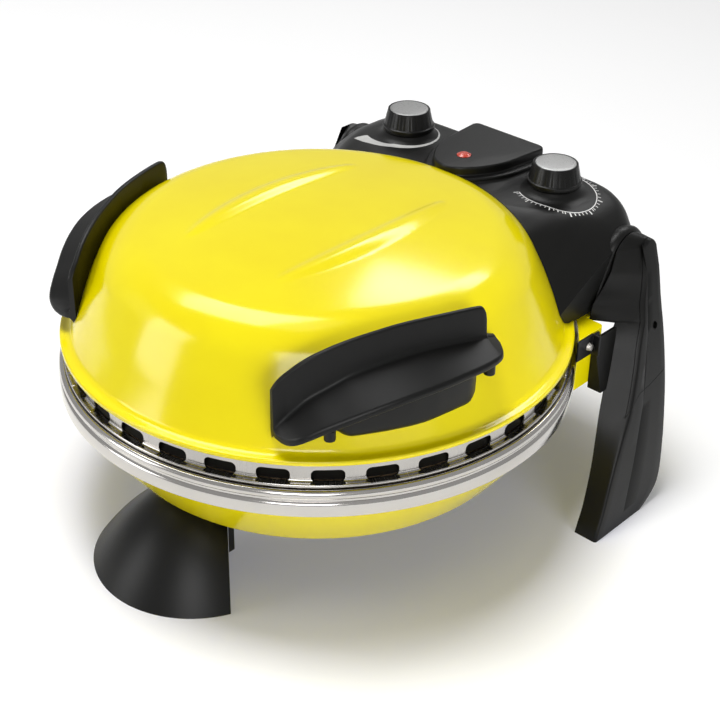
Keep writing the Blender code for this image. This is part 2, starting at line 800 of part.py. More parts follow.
def arm_outline(radius, bottom_z):
    """Outline in (y, z) around the hinge axis: round top, sloping front and upright rear."""
    centre = Vector((HINGE_Y, HINGE_Z))
    points = arc(centre, radius, 0, math.pi - (math.pi / 2 - ARM_SLOPE), 9)
    tangent = points[-1]
    down = (tangent.y - bottom_z) / math.tan(ARM_SLOPE)
    points.append(Vector((tangent.x - down, bottom_z)))
    points.append(Vector((HINGE_Y + radius, bottom_z)))
    return points


def build_collar(side, label):
    """Raised collar on the housing's end, where the leg's arm meets it."""
    outer = HOUSING_HALF + COLLAR_PROUD
    levels = [
        (outer - COLLAR_LENGTH, COLLAR_RIM - 1 * MM),
        (outer - COLLAR_TAPER - 1.5 * MM, COLLAR_RIM),
        (outer - COLLAR_TAPER, COLLAR_RIM - 0.6 * MM),
        (outer, 0.6 * MM),
    ]
    rings = []
    for x, grow in levels:
        rings.append([(x, p.x, p.y) for p in arm_outline(ARM_RADIUS + grow, HOUSING_BOTTOM_Z)])
    return lofted(f"{label}_collar_form", rings, None, LID, side)


def pad_outline(grow):
    """Plan of the raised pad: straight rear, round front."""
    half = PAD_HALF_WIDTH + grow
    front = PAD_FRONT_Y - grow
    shoulder = PAD_FRONT_Y + 0.75 * PAD_HALF_WIDTH
    points = [
        Vector((half, PAD_REAR_Y)),
        Vector((half * 0.86, shoulder)),
        Vector((half * 0.30, front)),
        Vector((-half * 0.30, front)),
        Vector((-half * 0.86, shoulder)),
        Vector((-half, PAD_REAR_Y)),
    ]
    return rounded(points, [4 * MM, 14 * MM, 12 * MM, 12 * MM, 14 * MM, 4 * MM], steps=3, closed=True)


def pad_form(name, grow, top):
    """Pad or ledge block with a small bevel round its upper edge."""
    bottom = PANEL_Z - HOUSING_WALL / 2
    edge = 1.2 * MM
    rings = []
    for z, inset in ((bottom, 0), (top - edge, 0), (top, edge)):
        rings.append([(p.x, p.y, z) for p in pad_outline(grow - inset)])
    return lofted(name, rings, None, LID)


def pedestal_form(name, x):
    """Low cone under a knob."""
    bottom = PANEL_Z - HOUSING_WALL / 2
    top = PANEL_Z + PEDESTAL_HEIGHT
    start = Vector((x, KNOB_Y, bottom))
    end = Vector((x, KNOB_Y, top))
    return rod(name, start, end, PEDESTAL_RADIUS, None, LID, 32, PEDESTAL_RADIUS - 5 * MM)


def build_housing(black):
    """Control housing: a thin shell over the dome's rear, with collars, pad and knob pedestals."""
    housing = housing_form("control_housing", 0.0, HOUSING_BOTTOM_Z, black, HOUSING_HALF)
    for side, label in ((1, "right"), (-1, "left")):
        combine(housing, build_collar(side, label), "UNION")
    cavity_half = HOUSING_HALF - HOUSING_WALL
    cavity_floor = HOUSING_BOTTOM_Z - 6 * MM
    combine(housing, housing_form("housing_cavity", HOUSING_WALL, cavity_floor, None, cavity_half))
    combine(housing, pad_form("pad_ledge_form", PAD_LEDGE_WIDTH, PANEL_Z + PAD_LEDGE), "UNION")
    combine(housing, pad_form("pad_form", 0.0, PANEL_Z + PAD_HEIGHT), "UNION")
    for side, label in ((1, "right"), (-1, "left")):
        combine(housing, pedestal_form(f"{label}_pedestal_form", side * KNOB_X), "UNION")
        boss_start = Vector((side * (HOUSING_HALF - PIN_BOSS_LENGTH), HINGE_Y, HINGE_Z))
        boss_end = Vector((side * (HOUSING_HALF - 1 * MM), HINGE_Y, HINGE_Z))
        boss = rod(f"{label}_pin_boss_form", boss_start, boss_end, PIN_RADIUS + PIN_BOSS_WALL, None, LID)
        combine(housing, boss, "UNION")
    combine(housing, dome_cutter("housing_dome_cutter"))
    for side, label in ((1, "right"), (-1, "left")):
        hole_start = Vector((side * (HOUSING_HALF - PIN_BOSS_LENGTH - 4 * MM), HINGE_Y, HINGE_Z))
        hole_end = Vector((side * (HOUSING_HALF + 4 * MM), HINGE_Y, HINGE_Z))
        combine(housing, rod(f"{label}_pin_hole", hole_start, hole_end, PIN_RADIUS + GAP, None, LID))
        shaft_hole = rod(
            f"{label}_shaft_hole",
            (side * KNOB_X, KNOB_Y, PANEL_Z - 12 * MM),
            (side * KNOB_X, KNOB_Y, PANEL_Z + 12 * MM),
            SHAFT_RADIUS + GAP,
            None,
            LID,
        )
        combine(housing, shaft_hole)
    lens_z = PANEL_Z + PAD_HEIGHT
    lens_seat = rod("lens_seat", (0, LENS_Y, lens_z - 1.5 * MM), (0, LENS_Y, lens_z + 2 * MM),
                    LENS_RADIUS + GAP, None, LID)
    combine(housing, lens_seat)
    gland_hole = rod("gland_hole", (GLAND_X, HOUSING_REAR_Y - 14 * MM, GLAND_Z),
                     (GLAND_X, HOUSING_REAR_Y + 14 * MM, GLAND_Z), GLAND_RADIUS - 2 * MM + GAP, None, LID)
    combine(housing, gland_hole)
    return housing


def build_housing_cover(black):
    """Plate that closes the housing behind the lid."""
    last = HOUSING_STATIONS[-1][0]
    inset = HOUSING_WALL + GAP
    half = HOUSING_HALF - inset
    thickness = 2.4 * MM
    stations = [(-s[0], *s[1:]) for s in reversed(HOUSING_STATIONS[1:])] + HOUSING_STATIONS
    sections = []
    for station in stations:
        x = station[0] / last * half
        rear = HOUSING_REAR_Y - station[2] * MM - inset - 2 * MM
        front = HOUSING_FRONT_Y + inset
        low = HOUSING_BOTTOM_Z
        high = low + thickness
        sections.append([(x, front, low), (x, front, high), (x, rear, high), (x, rear, low)])
    cover = lofted("housing_cover", sections, black, LID)
    combine(cover, dome_cutter("cover_dome_cutter"))
    return cover


def build_gland(rubber):
    """Bushing that a mains cord would leave through; it sits in the rear wall."""
    wall_y = HOUSING_REAR_Y - 1.2 * MM
    neck = GLAND_RADIUS - 2 * MM
    profile = [
        Vector((GLAND_BORE, 0)),
        Vector((GLAND_RADIUS - 2.5 * MM, 0)),
        Vector((GLAND_RADIUS, -GLAND_REACH + 2 * MM)),
        Vector((GLAND_RADIUS, -GLAND_REACH)),
        Vector((neck, -GLAND_REACH)),
        Vector((neck, -GLAND_REACH - HOUSING_WALL - 4 * MM)),
        Vector((GLAND_BORE, -GLAND_REACH - HOUSING_WALL - 4 * MM)),
    ]
    gland = turned("cord_gland", profile, rubber, LID, steps=24, closed=True,
                   centre=(GLAND_X, wall_y + GLAND_REACH + 2 * GAP, GLAND_Z))
    gland.rotation_euler = (-math.pi / 2, 0, 0)
    return gland


def build_lens(lamp):
    """Domed indicator lens in its seat on the pad."""
    base = PANEL_Z + PAD_HEIGHT - 1.5 * MM + GAP
    top = PANEL_Z + PAD_HEIGHT + LENS_RISE
    points = [
        Vector((0, top)),
        Vector((LENS_RADIUS * 0.6, top - 0.3 * MM)),
        Vector((LENS_RADIUS, PANEL_Z + PAD_HEIGHT + 0.3 * MM)),
        Vector((LENS_RADIUS, base)),
        Vector((0, base)),
    ]
    return turned("indicator_lens", points, lamp, LID, steps=24, centre=(0, LENS_Y, 0))


def fluted_ring(radius, z, depth, segments):
    """Ring of points with a shallow groove at each flute."""
    points = []
    for index in range(segments):
        turn = math.tau * index / segments
        local = radius - (depth if index % 3 == 0 else 0.0)
        points.append((math.cos(turn) * local, math.sin(turn) * local, z))
    return points


def build_knob(label, side, black, silver, steel):
    """Tapered knob with its silver cap and the shaft that it turns."""
    frame = f"{label}_axis"
    base_z = PANEL_Z + PEDESTAL_HEIGHT + GAP
    add_frame(frame, (side * KNOB_X, KNOB_Y, base_z), LID)
    segments = KNOB_FLUTES * 3
    skirt_radius = KNOB_BASE_RADIUS - 0.8 * MM
    levels = [
        (KNOB_BASE_RADIUS - 0.6 * MM, 0, 0),
        (KNOB_BASE_RADIUS, 0.8 * MM, 0),
        (KNOB_BASE_RADIUS, KNOB_SKIRT, 0),
        (skirt_radius, KNOB_SKIRT + 0.5 * MM, KNOB_FLUTE_DEPTH),
        (KNOB_TOP_RADIUS, KNOB_HEIGHT - 1.2 * MM, KNOB_FLUTE_DEPTH),
        (KNOB_TOP_RADIUS - 0.5 * MM, KNOB_HEIGHT, 0),
    ]
    sections = [fluted_ring(radius, z, depth, segments) for radius, z, depth in levels]
    knob = lofted(f"{label}_knob", sections, black, frame, position=FRAMES[frame][1])
    seat_z = base_z + KNOB_HEIGHT - CAP_THICKNESS + 0.2 * MM
    top_z = base_z + KNOB_HEIGHT
    x = side * KNOB_X
    seat = rod(f"{label}_cap_seat", (x, KNOB_Y, seat_z - GAP), (x, KNOB_Y, top_z + 2 * MM),
               CAP_RADIUS + GAP, None, frame, 36)
    combine(knob, seat)
    shaft_top = base_z + KNOB_HEIGHT * 0.55
    bore = rod(f"{label}_bore", (x, KNOB_Y, base_z - 2 * MM), (x, KNOB_Y, shaft_top + GAP),
               SHAFT_RADIUS + GAP, None, frame)
    combine(knob, bore)
    rod(f"{label}_knob_cap", (x, KNOB_Y, seat_z), (x, KNOB_Y, seat_z + CAP_THICKNESS),
        CAP_RADIUS, silver, frame, 36)
    rod(f"{label}_shaft", (x, KNOB_Y, PANEL_Z - SHAFT_BELOW_PANEL), (x, KNOB_Y, shaft_top),
        SHAFT_RADIUS, steel, frame)
    top = PANEL_Z - SHAFT_BELOW_PANEL - GAP
    half = SWITCH_BODY / 2
    low = (x - half.x, KNOB_Y - half.y, top - SWITCH_BODY.z)
    high = (x + half.x, KNOB_Y + half.y, top)
    return low, high


def build_switch(name, low, high, black):
    """Switch block under the panel with its bushing up to the panel's underside."""
    body = box(name, low, high, black, LID)
    x = (low[0] + high[0]) / 2
    start = (x, KNOB_Y, high[2] - 1 * MM)
    end = (x, KNOB_Y, PANEL_Z - HOUSING_WALL - GAP)
    combine(body, rod(f"{name}_bushing_form", start, end, SHAFT_RADIUS + 3 * MM, None, LID), "UNION")
    hole = rod(f"{name}_hole", (x, KNOB_Y, high[2]), (x, KNOB_Y, PANEL_Z), SHAFT_RADIUS + GAP, None, LID)
    combine(body, hole)
    return body


def leg_outer_x(z):
    """Outer face of a leg: it leans in with height, and more so near the top."""
    top = ARM_TOP.y
    return LEG_INNER_X + ARM_TOP_WIDTH + LEG_LEAN * (top - z) + LEG_BEND * (top * top - z * z)


def leg_arm_inner():
    """Inner face's outline of the arm: its arch, the flare of its front and its bottom."""
    points = arm_outline(ARM_RADIUS, ARM_BOTTOM_Z)[:-2]
    points.append(Vector((150.3, 160.8)) * MM)
    points.append(Vector((142.6, 151.4)) * MM)
    points.append(Vector((132.0, 142.4)) * MM)
    points.append(Vector((130.5 * MM, ARM_BOTTOM_Z)))
    points.append(Vector((ARM_REAR_INNER_Y, ARM_BOTTOM_Z)))
    return points


def leg_arm_outer():
    """Outer face's outline of the arm, matched point for point to the inner one."""
    points = arc(ARM_TOP, ARM_TOP_RADIUS, 0, math.pi / 2 + ARM_SLOPE, 9)
    points.append(Vector((168.0, 161.0)) * MM)
    points.append(Vector((163.2, 151.4)) * MM)
    points.append(Vector((158.8, 142.4)) * MM)
    points.append(Vector((155.6 * MM, ARM_BOTTOM_Z)))
    points.append(Vector((ARM_REAR_OUTER_Y, ARM_BOTTOM_Z)))
    return points


def arm_form(side, label):
    """Arm of a leg, from the arch beside the housing's collar out to its narrow outer face."""
    inner = leg_arm_inner()
    outer = leg_arm_outer()
    middle_x = BLOCK_OUTER_X + GAP
    rings = [[(LEG_INNER_X, p.x, p.y) for p in inner]]
    middle = []
    for p, q in zip(inner, outer):
        share = (middle_x - LEG_INNER_X) / (leg_outer_x(q.y) - ARM_EDGE - LEG_INNER_X)
        point = p + (q - p) * min(share, 0.9)
        low = max(0.0, (ARM_MIDDLE.y - point.y) / (ARM_MIDDLE.y - ARM_BOTTOM_Z))
        if point.x < ARM_MIDDLE.x:
            point.x -= ARM_BULGE * min(low, 1.0)
        x = LEG_INNER_X + (leg_outer_x(q.y) - ARM_EDGE - LEG_INNER_X) * min(share, 0.9)
        drop = ARM_DROP if q.y < ARM_BOTTOM_Z + ARM_EDGE else 0.0
        middle.append((x, point.x, point.y - drop))
    rings.append(middle)
    rings.append([(leg_outer_x(q.y) - ARM_EDGE, q.x, q.y) for q in outer])
    last = []
    for q in outer:
        inward = (ARM_MIDDLE - q).normalized() * 0.75 * ARM_EDGE
        z = q.y if q.y < ARM_BOTTOM_Z + ARM_EDGE else q.y + inward.y
        last.append((leg_outer_x(q.y), q.x + inward.x, z))
    rings.append(last)
    return lofted(f"{label}_arm_form", rings, None, ROOT, side)


def boss_form(side, label):
    """Pad on the leg's inner side that reaches to the hinge block's outer face."""
    rings = []
    for z in LEG_BOSS_Z:
        x0 = BLOCK_OUTER_X + GAP
        x1 = max(leg_outer_x(z) - LEG_THICKNESS, x0) + LEG_BOSS_OVERLAP
        low_y, high_y = LEG_BOSS_Y
        rings.append([(x0, low_y, z), (x1, low_y, z), (x1, high_y, z), (x0, high_y, z)])
    return lofted(f"{label}_boss_form", rings, None, ROOT, side)


def build_leg(side, label, black):
    """Leg from the floor up to the hinge, with a boss towards the pan's hinge block."""
    sections = []
    for z, outer_front, inner_front, rear in LEG_STATIONS:
        z = z * MM
        x_out = leg_outer_x(z)
        x_in = max(x_out - LEG_THICKNESS, BLOCK_OUTER_X + GAP)
        corners = [
            Vector((x_in, inner_front * MM)),
            Vector((x_out, outer_front * MM)),
            Vector((x_out, rear * MM)),
            Vector((x_in, rear * MM)),
        ]
        outline = rounded(corners, [1.5 * MM, 2 * MM, 4 * MM, 2 * MM], steps=2, closed=True)
        sections.append([(p.x, p.y, z) for p in outline])
    leg = lofted(f"{label}_leg", sections, black, ROOT, side)
    combine(leg, arm_form(side, label), "UNION")
    combine(leg, boss_form(side, label), "UNION")
    return leg


def cover_region(name, side, depth, shrink):
    """Outer skin of the leg above the curved parting line."""
    outline = [Vector((y * MM, z * MM + shrink)) for y, z in COVER_SEAM]
    low_y = outline[0].x
    high_y = outline[-1].x
    start_z = outline[0].y - COVER_DEPTH / 4
    outline.append(Vector((high_y, COVER_TOP_Z)))
    outline.append(Vector((low_y, COVER_TOP_Z)))
    sections = []
    for step in range(COVER_STEPS + 1):
        z = start_z + (COVER_TOP_Z - start_z) * step / COVER_STEPS
        x_in = leg_outer_x(z) - depth
        x_out = x_in + COVER_DEPTH
        sections.append([(x_in, low_y, z), (x_out, low_y, z), (x_out, high_y, z), (x_in, high_y, z)])
    skin = lofted(f"{name}_skin", sections, None, ROOT, side)
    inside = LEG_INNER_X - COVER_DEPTH / 2
    side_form = extruded(name, outline, "yz", inside, LEG_INNER_X + COVER_DEPTH, None, ROOT, side)
    combine(side_form, skin, "INTERSECT")
    return side_form


def build_leg_cover(side, label, leg, black):
    """Thin cover let into the leg's outer side, with its screw hole."""
    region = cover_region(f"{label}_cover_recess", side, COVER_THICKNESS, 0.0)
    cover = link(f"{label}_leg_cover", leg.data.copy(), black, ROOT)
    cover.data.materials.clear()
    cover.data.materials.append(black)
    for modifier in leg.modifiers:
        combine(cover, modifier.object, modifier.operation)
    skin = cover_region(f"{label}_cover_skin", side, COVER_THICKNESS - GAP, GAP)
    combine(cover, skin, "INTERSECT")
    combine(leg, region)
    hole_start = (side * LEG_INNER_X, COVER_HOLE.x, COVER_HOLE.y)
    hole_end = (side * (LEG_INNER_X + COVER_DEPTH), COVER_HOLE.x, COVER_HOLE.y)
    hole = rod(f"{label}_cover_hole", hole_start, hole_end, COVER_HOLE_RADIUS, None, ROOT)
    combine(cover, hole)
    return cover


def build_hinge_pin(side, label, leg, steel):
    """Pin fixed in the leg's arm, on which the lid's collar turns."""
    start = Vector((side * (HOUSING_HALF - PIN_BOSS_LENGTH + 1 * MM), HINGE_Y, HINGE_Z))
    end = Vector((side * (LEG_INNER_X + PIN_IN_LEG), HINGE_Y, HINGE_Z))
    rod(f"{label}_hinge_pin", start, end, PIN_RADIUS, steel, ROOT)
    hole_end = end + Vector((side * GAP, 0, 0))
    combine(leg, rod(f"{label}_leg_pin_hole", start, hole_end, PIN_RADIUS + GAP, None, ROOT))


def build_hinge_block(side, label, yellow):
    """Yellow block behind the pan's rim that carries the leg."""
    inner_x = BLOCK_OUTER_X - BLOCK_WIDTH
    outline = [
        Vector((inner_x, BLOCK_Y[0])),
        Vector((BLOCK_OUTER_X, BLOCK_Y[0])),
        Vector((BLOCK_OUTER_X, BLOCK_Y[1])),
        Vector((LEG_INNER_X - 2 * GAP, BLOCK_Y[1])),
        Vector((LEG_INNER_X - 2 * GAP, BLOCK_REAR_Y)),
        Vector((inner_x, BLOCK_REAR_Y)),
    ]
    outline = rounded(outline, BLOCK_CORNERS, steps=4, closed=True)
    block = extruded(f"{label}_hinge_block", outline, "xy", BLOCK_Z[0], BLOCK_Z[1], yellow, ROOT, side)
    low = (0, 0, BLOCK_Z[0] - 5 * MM)
    high = (0, 0, BLOCK_Z[1] + 5 * MM)
    combine(block, rod(f"{label}_rim_clearance", low, high, BAND_RADIUS + GAP, None, ROOT, 96))
    return block


def build_hinge_bracket(side, label, black_steel, steel):
    """Bent steel bracket from the block's side to the leg, with its cross-head screw."""
    x0 = BLOCK_OUTER_X + GAP
    x1 = x0 + BRACKET_SHEET
    top = BLOCK_Z[1]
    bottom = top - BRACKET_HEIGHT
    y_in = LEG_BOSS_Y[0] - GAP
    reach = x0 + BRACKET_REACH
    outline = [
        Vector((x0, BRACKET_Y[0])),
        Vector((x1, BRACKET_Y[0])),
        Vector((x1, y_in - BRACKET_SHEET)),
        Vector((reach, y_in - BRACKET_SHEET)),
        Vector((reach, y_in)),
        Vector((x0, y_in)),
    ]
    bracket = extruded(f"{label}_hinge_bracket", outline, "xy", bottom, top, black_steel, ROOT, side)
    upper = box(f"{label}_bracket_upper_form", (x0, BRACKET_Y[0] + 2 * MM, LEG_BOSS_Z[1] + GAP),
                (x1, BRACKET_Y[1], top - 1 * MM), None, ROOT, side)
    combine(bracket, upper, "UNION")
    screw_y = (BRACKET_Y[0] + BRACKET_Y[1]) / 2
    screw_z = (top + bottom) / 2
    seat = (side * (x1 + GAP), screw_y, screw_z)
    head = (side * (x1 + GAP + SCREW_HEAD), screw_y, screw_z)
    rod(f"{label}_bracket_screw", seat, head, SCREW_RADIUS, steel, ROOT, 20, SCREW_RADIUS * 0.7)


def foot_arc(offset):
    """Side of the foot's dome from its top down to the floor, moved inward by offset."""
    radius = FOOT_RADIUS - offset
    height = FOOT_HEIGHT - offset
    points = []
    for step in range(FOOT_STEPS + 1):
        share = step / FOOT_STEPS
        points.append(Vector((radius * share, height * (1 - share * share))))
    return points


def build_front_foot(black):
    """Hollow dome under the pan's front, cut off along two upright planes at its rear."""
    shell = foot_arc(0) + list(reversed(foot_arc(FOOT_WALL)))
    foot = turned("front_foot", shell, black, ROOT, steps=48, centre=(0, FOOT_Y, 0))
    reach = 2 * FOOT_RADIUS
    side_y = FOOT_CUT_Y - FOOT_CUT_SLOPE * reach
    rear_y = FOOT_Y + reach
    outline = [
        Vector((0, FOOT_CUT_Y)),
        Vector((reach, side_y)),
        Vector((reach, rear_y)),
        Vector((-reach, rear_y)),
        Vector((-reach, side_y)),
    ]
    cutter = extruded("foot_rear_cutter", outline, "xy", -FOOT_HEIGHT, 2 * FOOT_HEIGHT, None, ROOT)
    combine(foot, cutter)
    combine(foot, pan_cutter("foot_pan_cutter"))
    return foot


def build_foot_bracket(black):
    """Angled plate behind the foot's shell that fixes it to the pan's underside."""
    front_y = FOOT_CUT_Y + 1.4 * GAP
    rear_y = front_y + FOOT_BRACKET_SHEET
    half = FOOT_BRACKET_HALF
    back = FOOT_CUT_SLOPE * half
    outline = [
        Vector((0, front_y)),
        Vector((half, front_y - back)),
        Vector((half, rear_y - back)),
        Vector((0, rear_y)),
        Vector((-half, rear_y - back)),
        Vector((-half, front_y - back)),
    ]
    bracket = extruded("front_foot_bracket", outline, "xy", FOOT_BRACKET_Z, BAND_BOTTOM_Z, black, ROOT)
    combine(bracket, pan_cutter("bracket_pan_cutter"))
    return bracket


def handle_section(station):
    """Cross-section of shield and wing as (outward, height) in metres."""
    _, crease, top, width, edge = station
    crease, top, width, edge = (value * MM for value in (crease, top, width, edge))
    return [
        Vector((-SHIELD_WALL, crease - SHIELD_SKIRT)),
        Vector((-SHIELD_WALL, top - 1 * MM)),
        Vector((-SHIELD_WALL + 1 * MM, top)),
        Vector((-0.8 * MM, top)),
        Vector((0, top - 0.8 * MM)),
        Vector((min(1.2 * MM, width * 0.2), crease)),
        Vector((width - 2.0 * MM, edge)),
        Vector((width, edge - 1.8 * MM)),
        Vector((width, edge - GRIP_EDGE + 1.5 * MM)),
        Vector((width - 1.5 * MM, edge - GRIP_EDGE)),
        Vector((width - 3.0 * MM, edge - GRIP_EDGE + 0.5 * MM)),
        Vector((width - 3.6 * MM, edge - GRIP_WALL)),
        Vector((0, crease - GRIP_WALL - 2 * MM)),
    ]


def handle_point(share, outward, z):
    """Point beside the handle's chord, on the right side."""
    chord = HANDLE_REAR - HANDLE_FRONT
    normal = Vector((chord.y, -chord.x)).normalized()
    bow = HANDLE_BOW * max(0.0, 1 - ((share - HANDLE_BOW_MIDDLE) / HANDLE_BOW_SPAN) ** 2)
    plan = HANDLE_FRONT + chord * share + normal * (outward + bow)
    return Vector((plan.x, plan.y, z + HANDLE_BOW_RISE * bow))


def handle_value(share, column):
    """Value from the handle's stations at any share of its length."""
    for first, second in zip(HANDLE_STATIONS, HANDLE_STATIONS[1:]):
        if first[0] <= share <= second[0]:
            mix = (share - first[0]) / (second[0] - first[0])
            return (first[column] + (second[column] - first[column]) * mix) * MM
    return HANDLE_STATIONS[-1][column] * MM


def build_handle(side, label, black):
    """Grip, the bracket below it and its two screws."""
    sections = []
    for station in HANDLE_STATIONS:
        sections.append([handle_point(station[0], p.x, p.y) for p in handle_section(station)])
    grip = lofted(f"{label}_handle_grip", sections, black, LID, side, flat_angle=30)
    combine(grip, dome_cutter(f"{label}_grip_cutter"))
    sections = []
    for index, share in enumerate(HANDLE_BRACKET_SHARES):
        crease = handle_value(share, 1)
        width = handle_value(share, 3)
        edge = handle_value(share, 4)
        inset = 3 * MM if index in (0, len(HANDLE_BRACKET_SHARES) - 1) else 0
        low_z = max(edge - HANDLE_BRACKET_DEPTH, HANDLE_BRACKET_LOWEST) + inset
        top_out = width - HANDLE_BRACKET_INSET - inset
        under_edge = edge - GRIP_WALL - HANDLE_BRACKET_DROP
        under_root = crease - GRIP_WALL - 2 * MM - HANDLE_BRACKET_DROP
        slant = (under_edge - under_root) / (width - 3.6 * MM)
        ring = [
            Vector((-2 * MM, under_root)),
            Vector((0, under_root)),
            Vector((top_out, under_root + slant * top_out)),
            Vector((top_out - 1 * MM, low_z + 6 * MM)),
            Vector((top_out - 4 * MM, low_z)),
            Vector((-2 * MM, low_z)),
        ]
        sections.append([handle_point(share, p.x, p.y) for p in ring])
    bracket = lofted(f"{label}_handle_bracket", sections, black, LID, side)
    combine(bracket, dome_cutter(f"{label}_bracket_cutter"))
    for share, where in zip(HANDLE_SCREWS, ("front", "rear")):
        width = handle_value(share, 3)
        edge = handle_value(share, 4)
        crease = handle_value(share, 1)
        out = width - 3.6 * MM - HANDLE_SCREW_RADIUS
        root = crease - GRIP_WALL - 2 * MM
        under = root + (edge - GRIP_WALL - root) * (out + HANDLE_SCREW_RADIUS) / (width - 3.6 * MM)
        top = handle_point(share, out, under - 3.5 * MM)
        bottom = top - Vector((0, 0, HANDLE_SCREW_LENGTH))
        top.x *= side
        bottom.x *= side
        rod(f"{label}_handle_screw_{where}", bottom, top, HANDLE_SCREW_RADIUS, black, LID, 16)


def build_lid(yellow, black, steel, dark_steel, ceramic, silver, lamp, rubber):
    build_dome(yellow)
    build_vent_ring(steel)
    build_upper_reflector(steel)
    ceiling = PARTING_Z + 3 * MM + UPPER_REFLECTOR_RISE - 0.8 * MM
    build_element("upper", ceiling - ELEMENT_CLEARANCE - ELEMENT_RADIUS, ceiling, LID, dark_steel, ceramic)
    build_housing(black)
    build_housing_cover(black)
    build_gland(rubber)
    build_lens(lamp)
    for side, label, switch in ((-1, "thermostat", "thermostat_body"), (1, "timer", "timer_body")):
        low, high = build_knob(label, side, black, silver, steel)
        build_switch(switch, low, high, black)
    for side, label in ((1, "right"), (-1, "left")):
        build_handle(side, label, black)


def build_base(yellow, black, steel, dark_steel, ceramic, stone):
    build_pan(yellow)
    build_rim_band(steel)
    build_lower_reflector(steel)
    floor = STONE_TOP_Z - STONE_THICKNESS - GAP - REFLECTOR_DEPTH
    build_element("lower", floor + ELEMENT_CLEARANCE + ELEMENT_RADIUS, floor, ROOT, dark_steel, ceramic)
    build_stone(stone)
    build_front_foot(black)
    build_foot_bracket(black)
    for side, label in ((1, "right"), (-1, "left")):
        leg = build_leg(side, label, black)
        build_leg_cover(side, label, leg, black)
        build_hinge_pin(side, label, leg, steel)
        build_hinge_block(side, label, yellow)
        build_hinge_bracket(side, label, dark_steel, steel)


def main():
    clear_scene()
    front = FOOT_Y - foot_arc(0)[-1].x
    rear = HOUSING_REAR_Y - 1.2 * MM + 2 * GAP + GLAND_REACH
    add_frame(ROOT, (0, 0, 0))
    FRAMES[ROOT][0].location = (0, -(front + rear) / 2, 0)
    add_frame(LID, (0, HINGE_Y, HINGE_Z), ROOT)

    yellow = look("yellow_enamel", (0.86, 0.72, 0.005), 0.25)
    black = look("black_plastic", (0.025, 0.025, 0.027), 0.55)
    steel = look("polished_steel", (0.62, 0.61, 0.60), 0.2, 1.0)
    dark_steel = look("dark_steel", (0.08, 0.08, 0.085), 0.35, 1.0)
    ceramic = look("white_ceramic", (0.75, 0.72, 0.66), 0.6)
    stone = look("baking_stone", (0.55, 0.38, 0.26), 0.9)
    silver = look("silver_cap", (0.58, 0.58, 0.58), 0.35, 1.0)
    lamp = look("red_lens", (0.58, 0.08, 0.04), 0.2)
    rubber = look("black_rubber", (0.02, 0.02, 0.02), 0.75)

    build_base(yellow, black, steel, dark_steel, ceramic, stone)
    build_lid(yellow, black, steel, dark_steel, ceramic, silver, lamp, rubber)


main()
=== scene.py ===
"""Dressed model of a round electric pizza maker with a yellow domed lid.

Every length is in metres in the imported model's frame. Round pieces are first made in oven coordinates,
with the pan's axis at x = y = 0 and the floor at z = 0, and Workshop.publish moves them into the frame.
"""

import logging
import math
from collections.abc import Callable, Iterable, Sequence
from dataclasses import dataclass
from enum import Enum

import bmesh
import bpy
from mathutils import Matrix, Vector
from mathutils.bvhtree import BVHTree
from mathutils.geometry import interpolate_bezier

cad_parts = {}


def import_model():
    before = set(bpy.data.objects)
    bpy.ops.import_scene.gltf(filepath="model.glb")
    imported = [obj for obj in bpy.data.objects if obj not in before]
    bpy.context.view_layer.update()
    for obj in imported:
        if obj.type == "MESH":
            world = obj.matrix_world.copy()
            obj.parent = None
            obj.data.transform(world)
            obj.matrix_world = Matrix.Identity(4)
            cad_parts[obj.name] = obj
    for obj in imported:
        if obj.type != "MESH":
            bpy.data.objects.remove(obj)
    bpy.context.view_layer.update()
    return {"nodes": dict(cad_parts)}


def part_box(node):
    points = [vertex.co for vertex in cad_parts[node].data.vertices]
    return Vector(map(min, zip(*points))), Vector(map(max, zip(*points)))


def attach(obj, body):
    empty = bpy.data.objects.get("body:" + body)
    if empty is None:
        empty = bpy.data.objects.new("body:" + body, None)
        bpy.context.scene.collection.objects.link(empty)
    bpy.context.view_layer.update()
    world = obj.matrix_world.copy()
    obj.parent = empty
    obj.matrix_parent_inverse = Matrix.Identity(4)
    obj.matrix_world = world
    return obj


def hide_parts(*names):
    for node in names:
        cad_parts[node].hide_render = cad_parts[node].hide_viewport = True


Mesh = bmesh.types.BMesh
Tree = bpy.types.NodeTree
Socket = bpy.types.NodeSocket

MM = 0.001
KNOB_X = 67.7 * MM
KNOB_Y = 163.8 * MM
PARTING_Z = 116.5 * MM
SHEET = 1.6 * MM
LOG = logging.getLogger("pizza_maker")


class Body(Enum):
    """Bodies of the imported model."""

    BASE = "base"
    LID = "lid"
    THERMOSTAT = "thermostat_dial"
    TIMER = "timer_dial"


class Slot(Enum):
    """Material slots of the record."""

    ENAMEL = "yellow_enamel"
    PLASTIC = "black_plastic"
    STEEL = "polished_steel"
    DARK_STEEL = "dark_steel"
    CERAMIC = "white_ceramic"
    STONE = "baking_stone"
    CAP = "silver_cap"
    LENS = "red_lens"
    RUBBER = "black_rubber"


class Side(Enum):
    """Side of the oven, seen from its front."""

    LEFT = -1
    RIGHT = 1

    @property
    def label(self) -> str:
        """Side's word in the names of nodes."""
        return self.name.lower()


def linear(code: str) -> tuple[float, float, float, float]:
    """Turns an sRGB hex value into a linear colour.

    Args:
        code: Colour as "#RRGGBB".

    Returns:
        Linear red, green, blue and an alpha of 1.
    """
    out = []
    for start in (1, 3, 5):
        share = int(code[start : start + 2], 16) / 255
        out.append(share / 12.92 if share <= 0.04045 else ((share + 0.055) / 1.055) ** 2.4)
    return (out[0], out[1], out[2], 1.0)


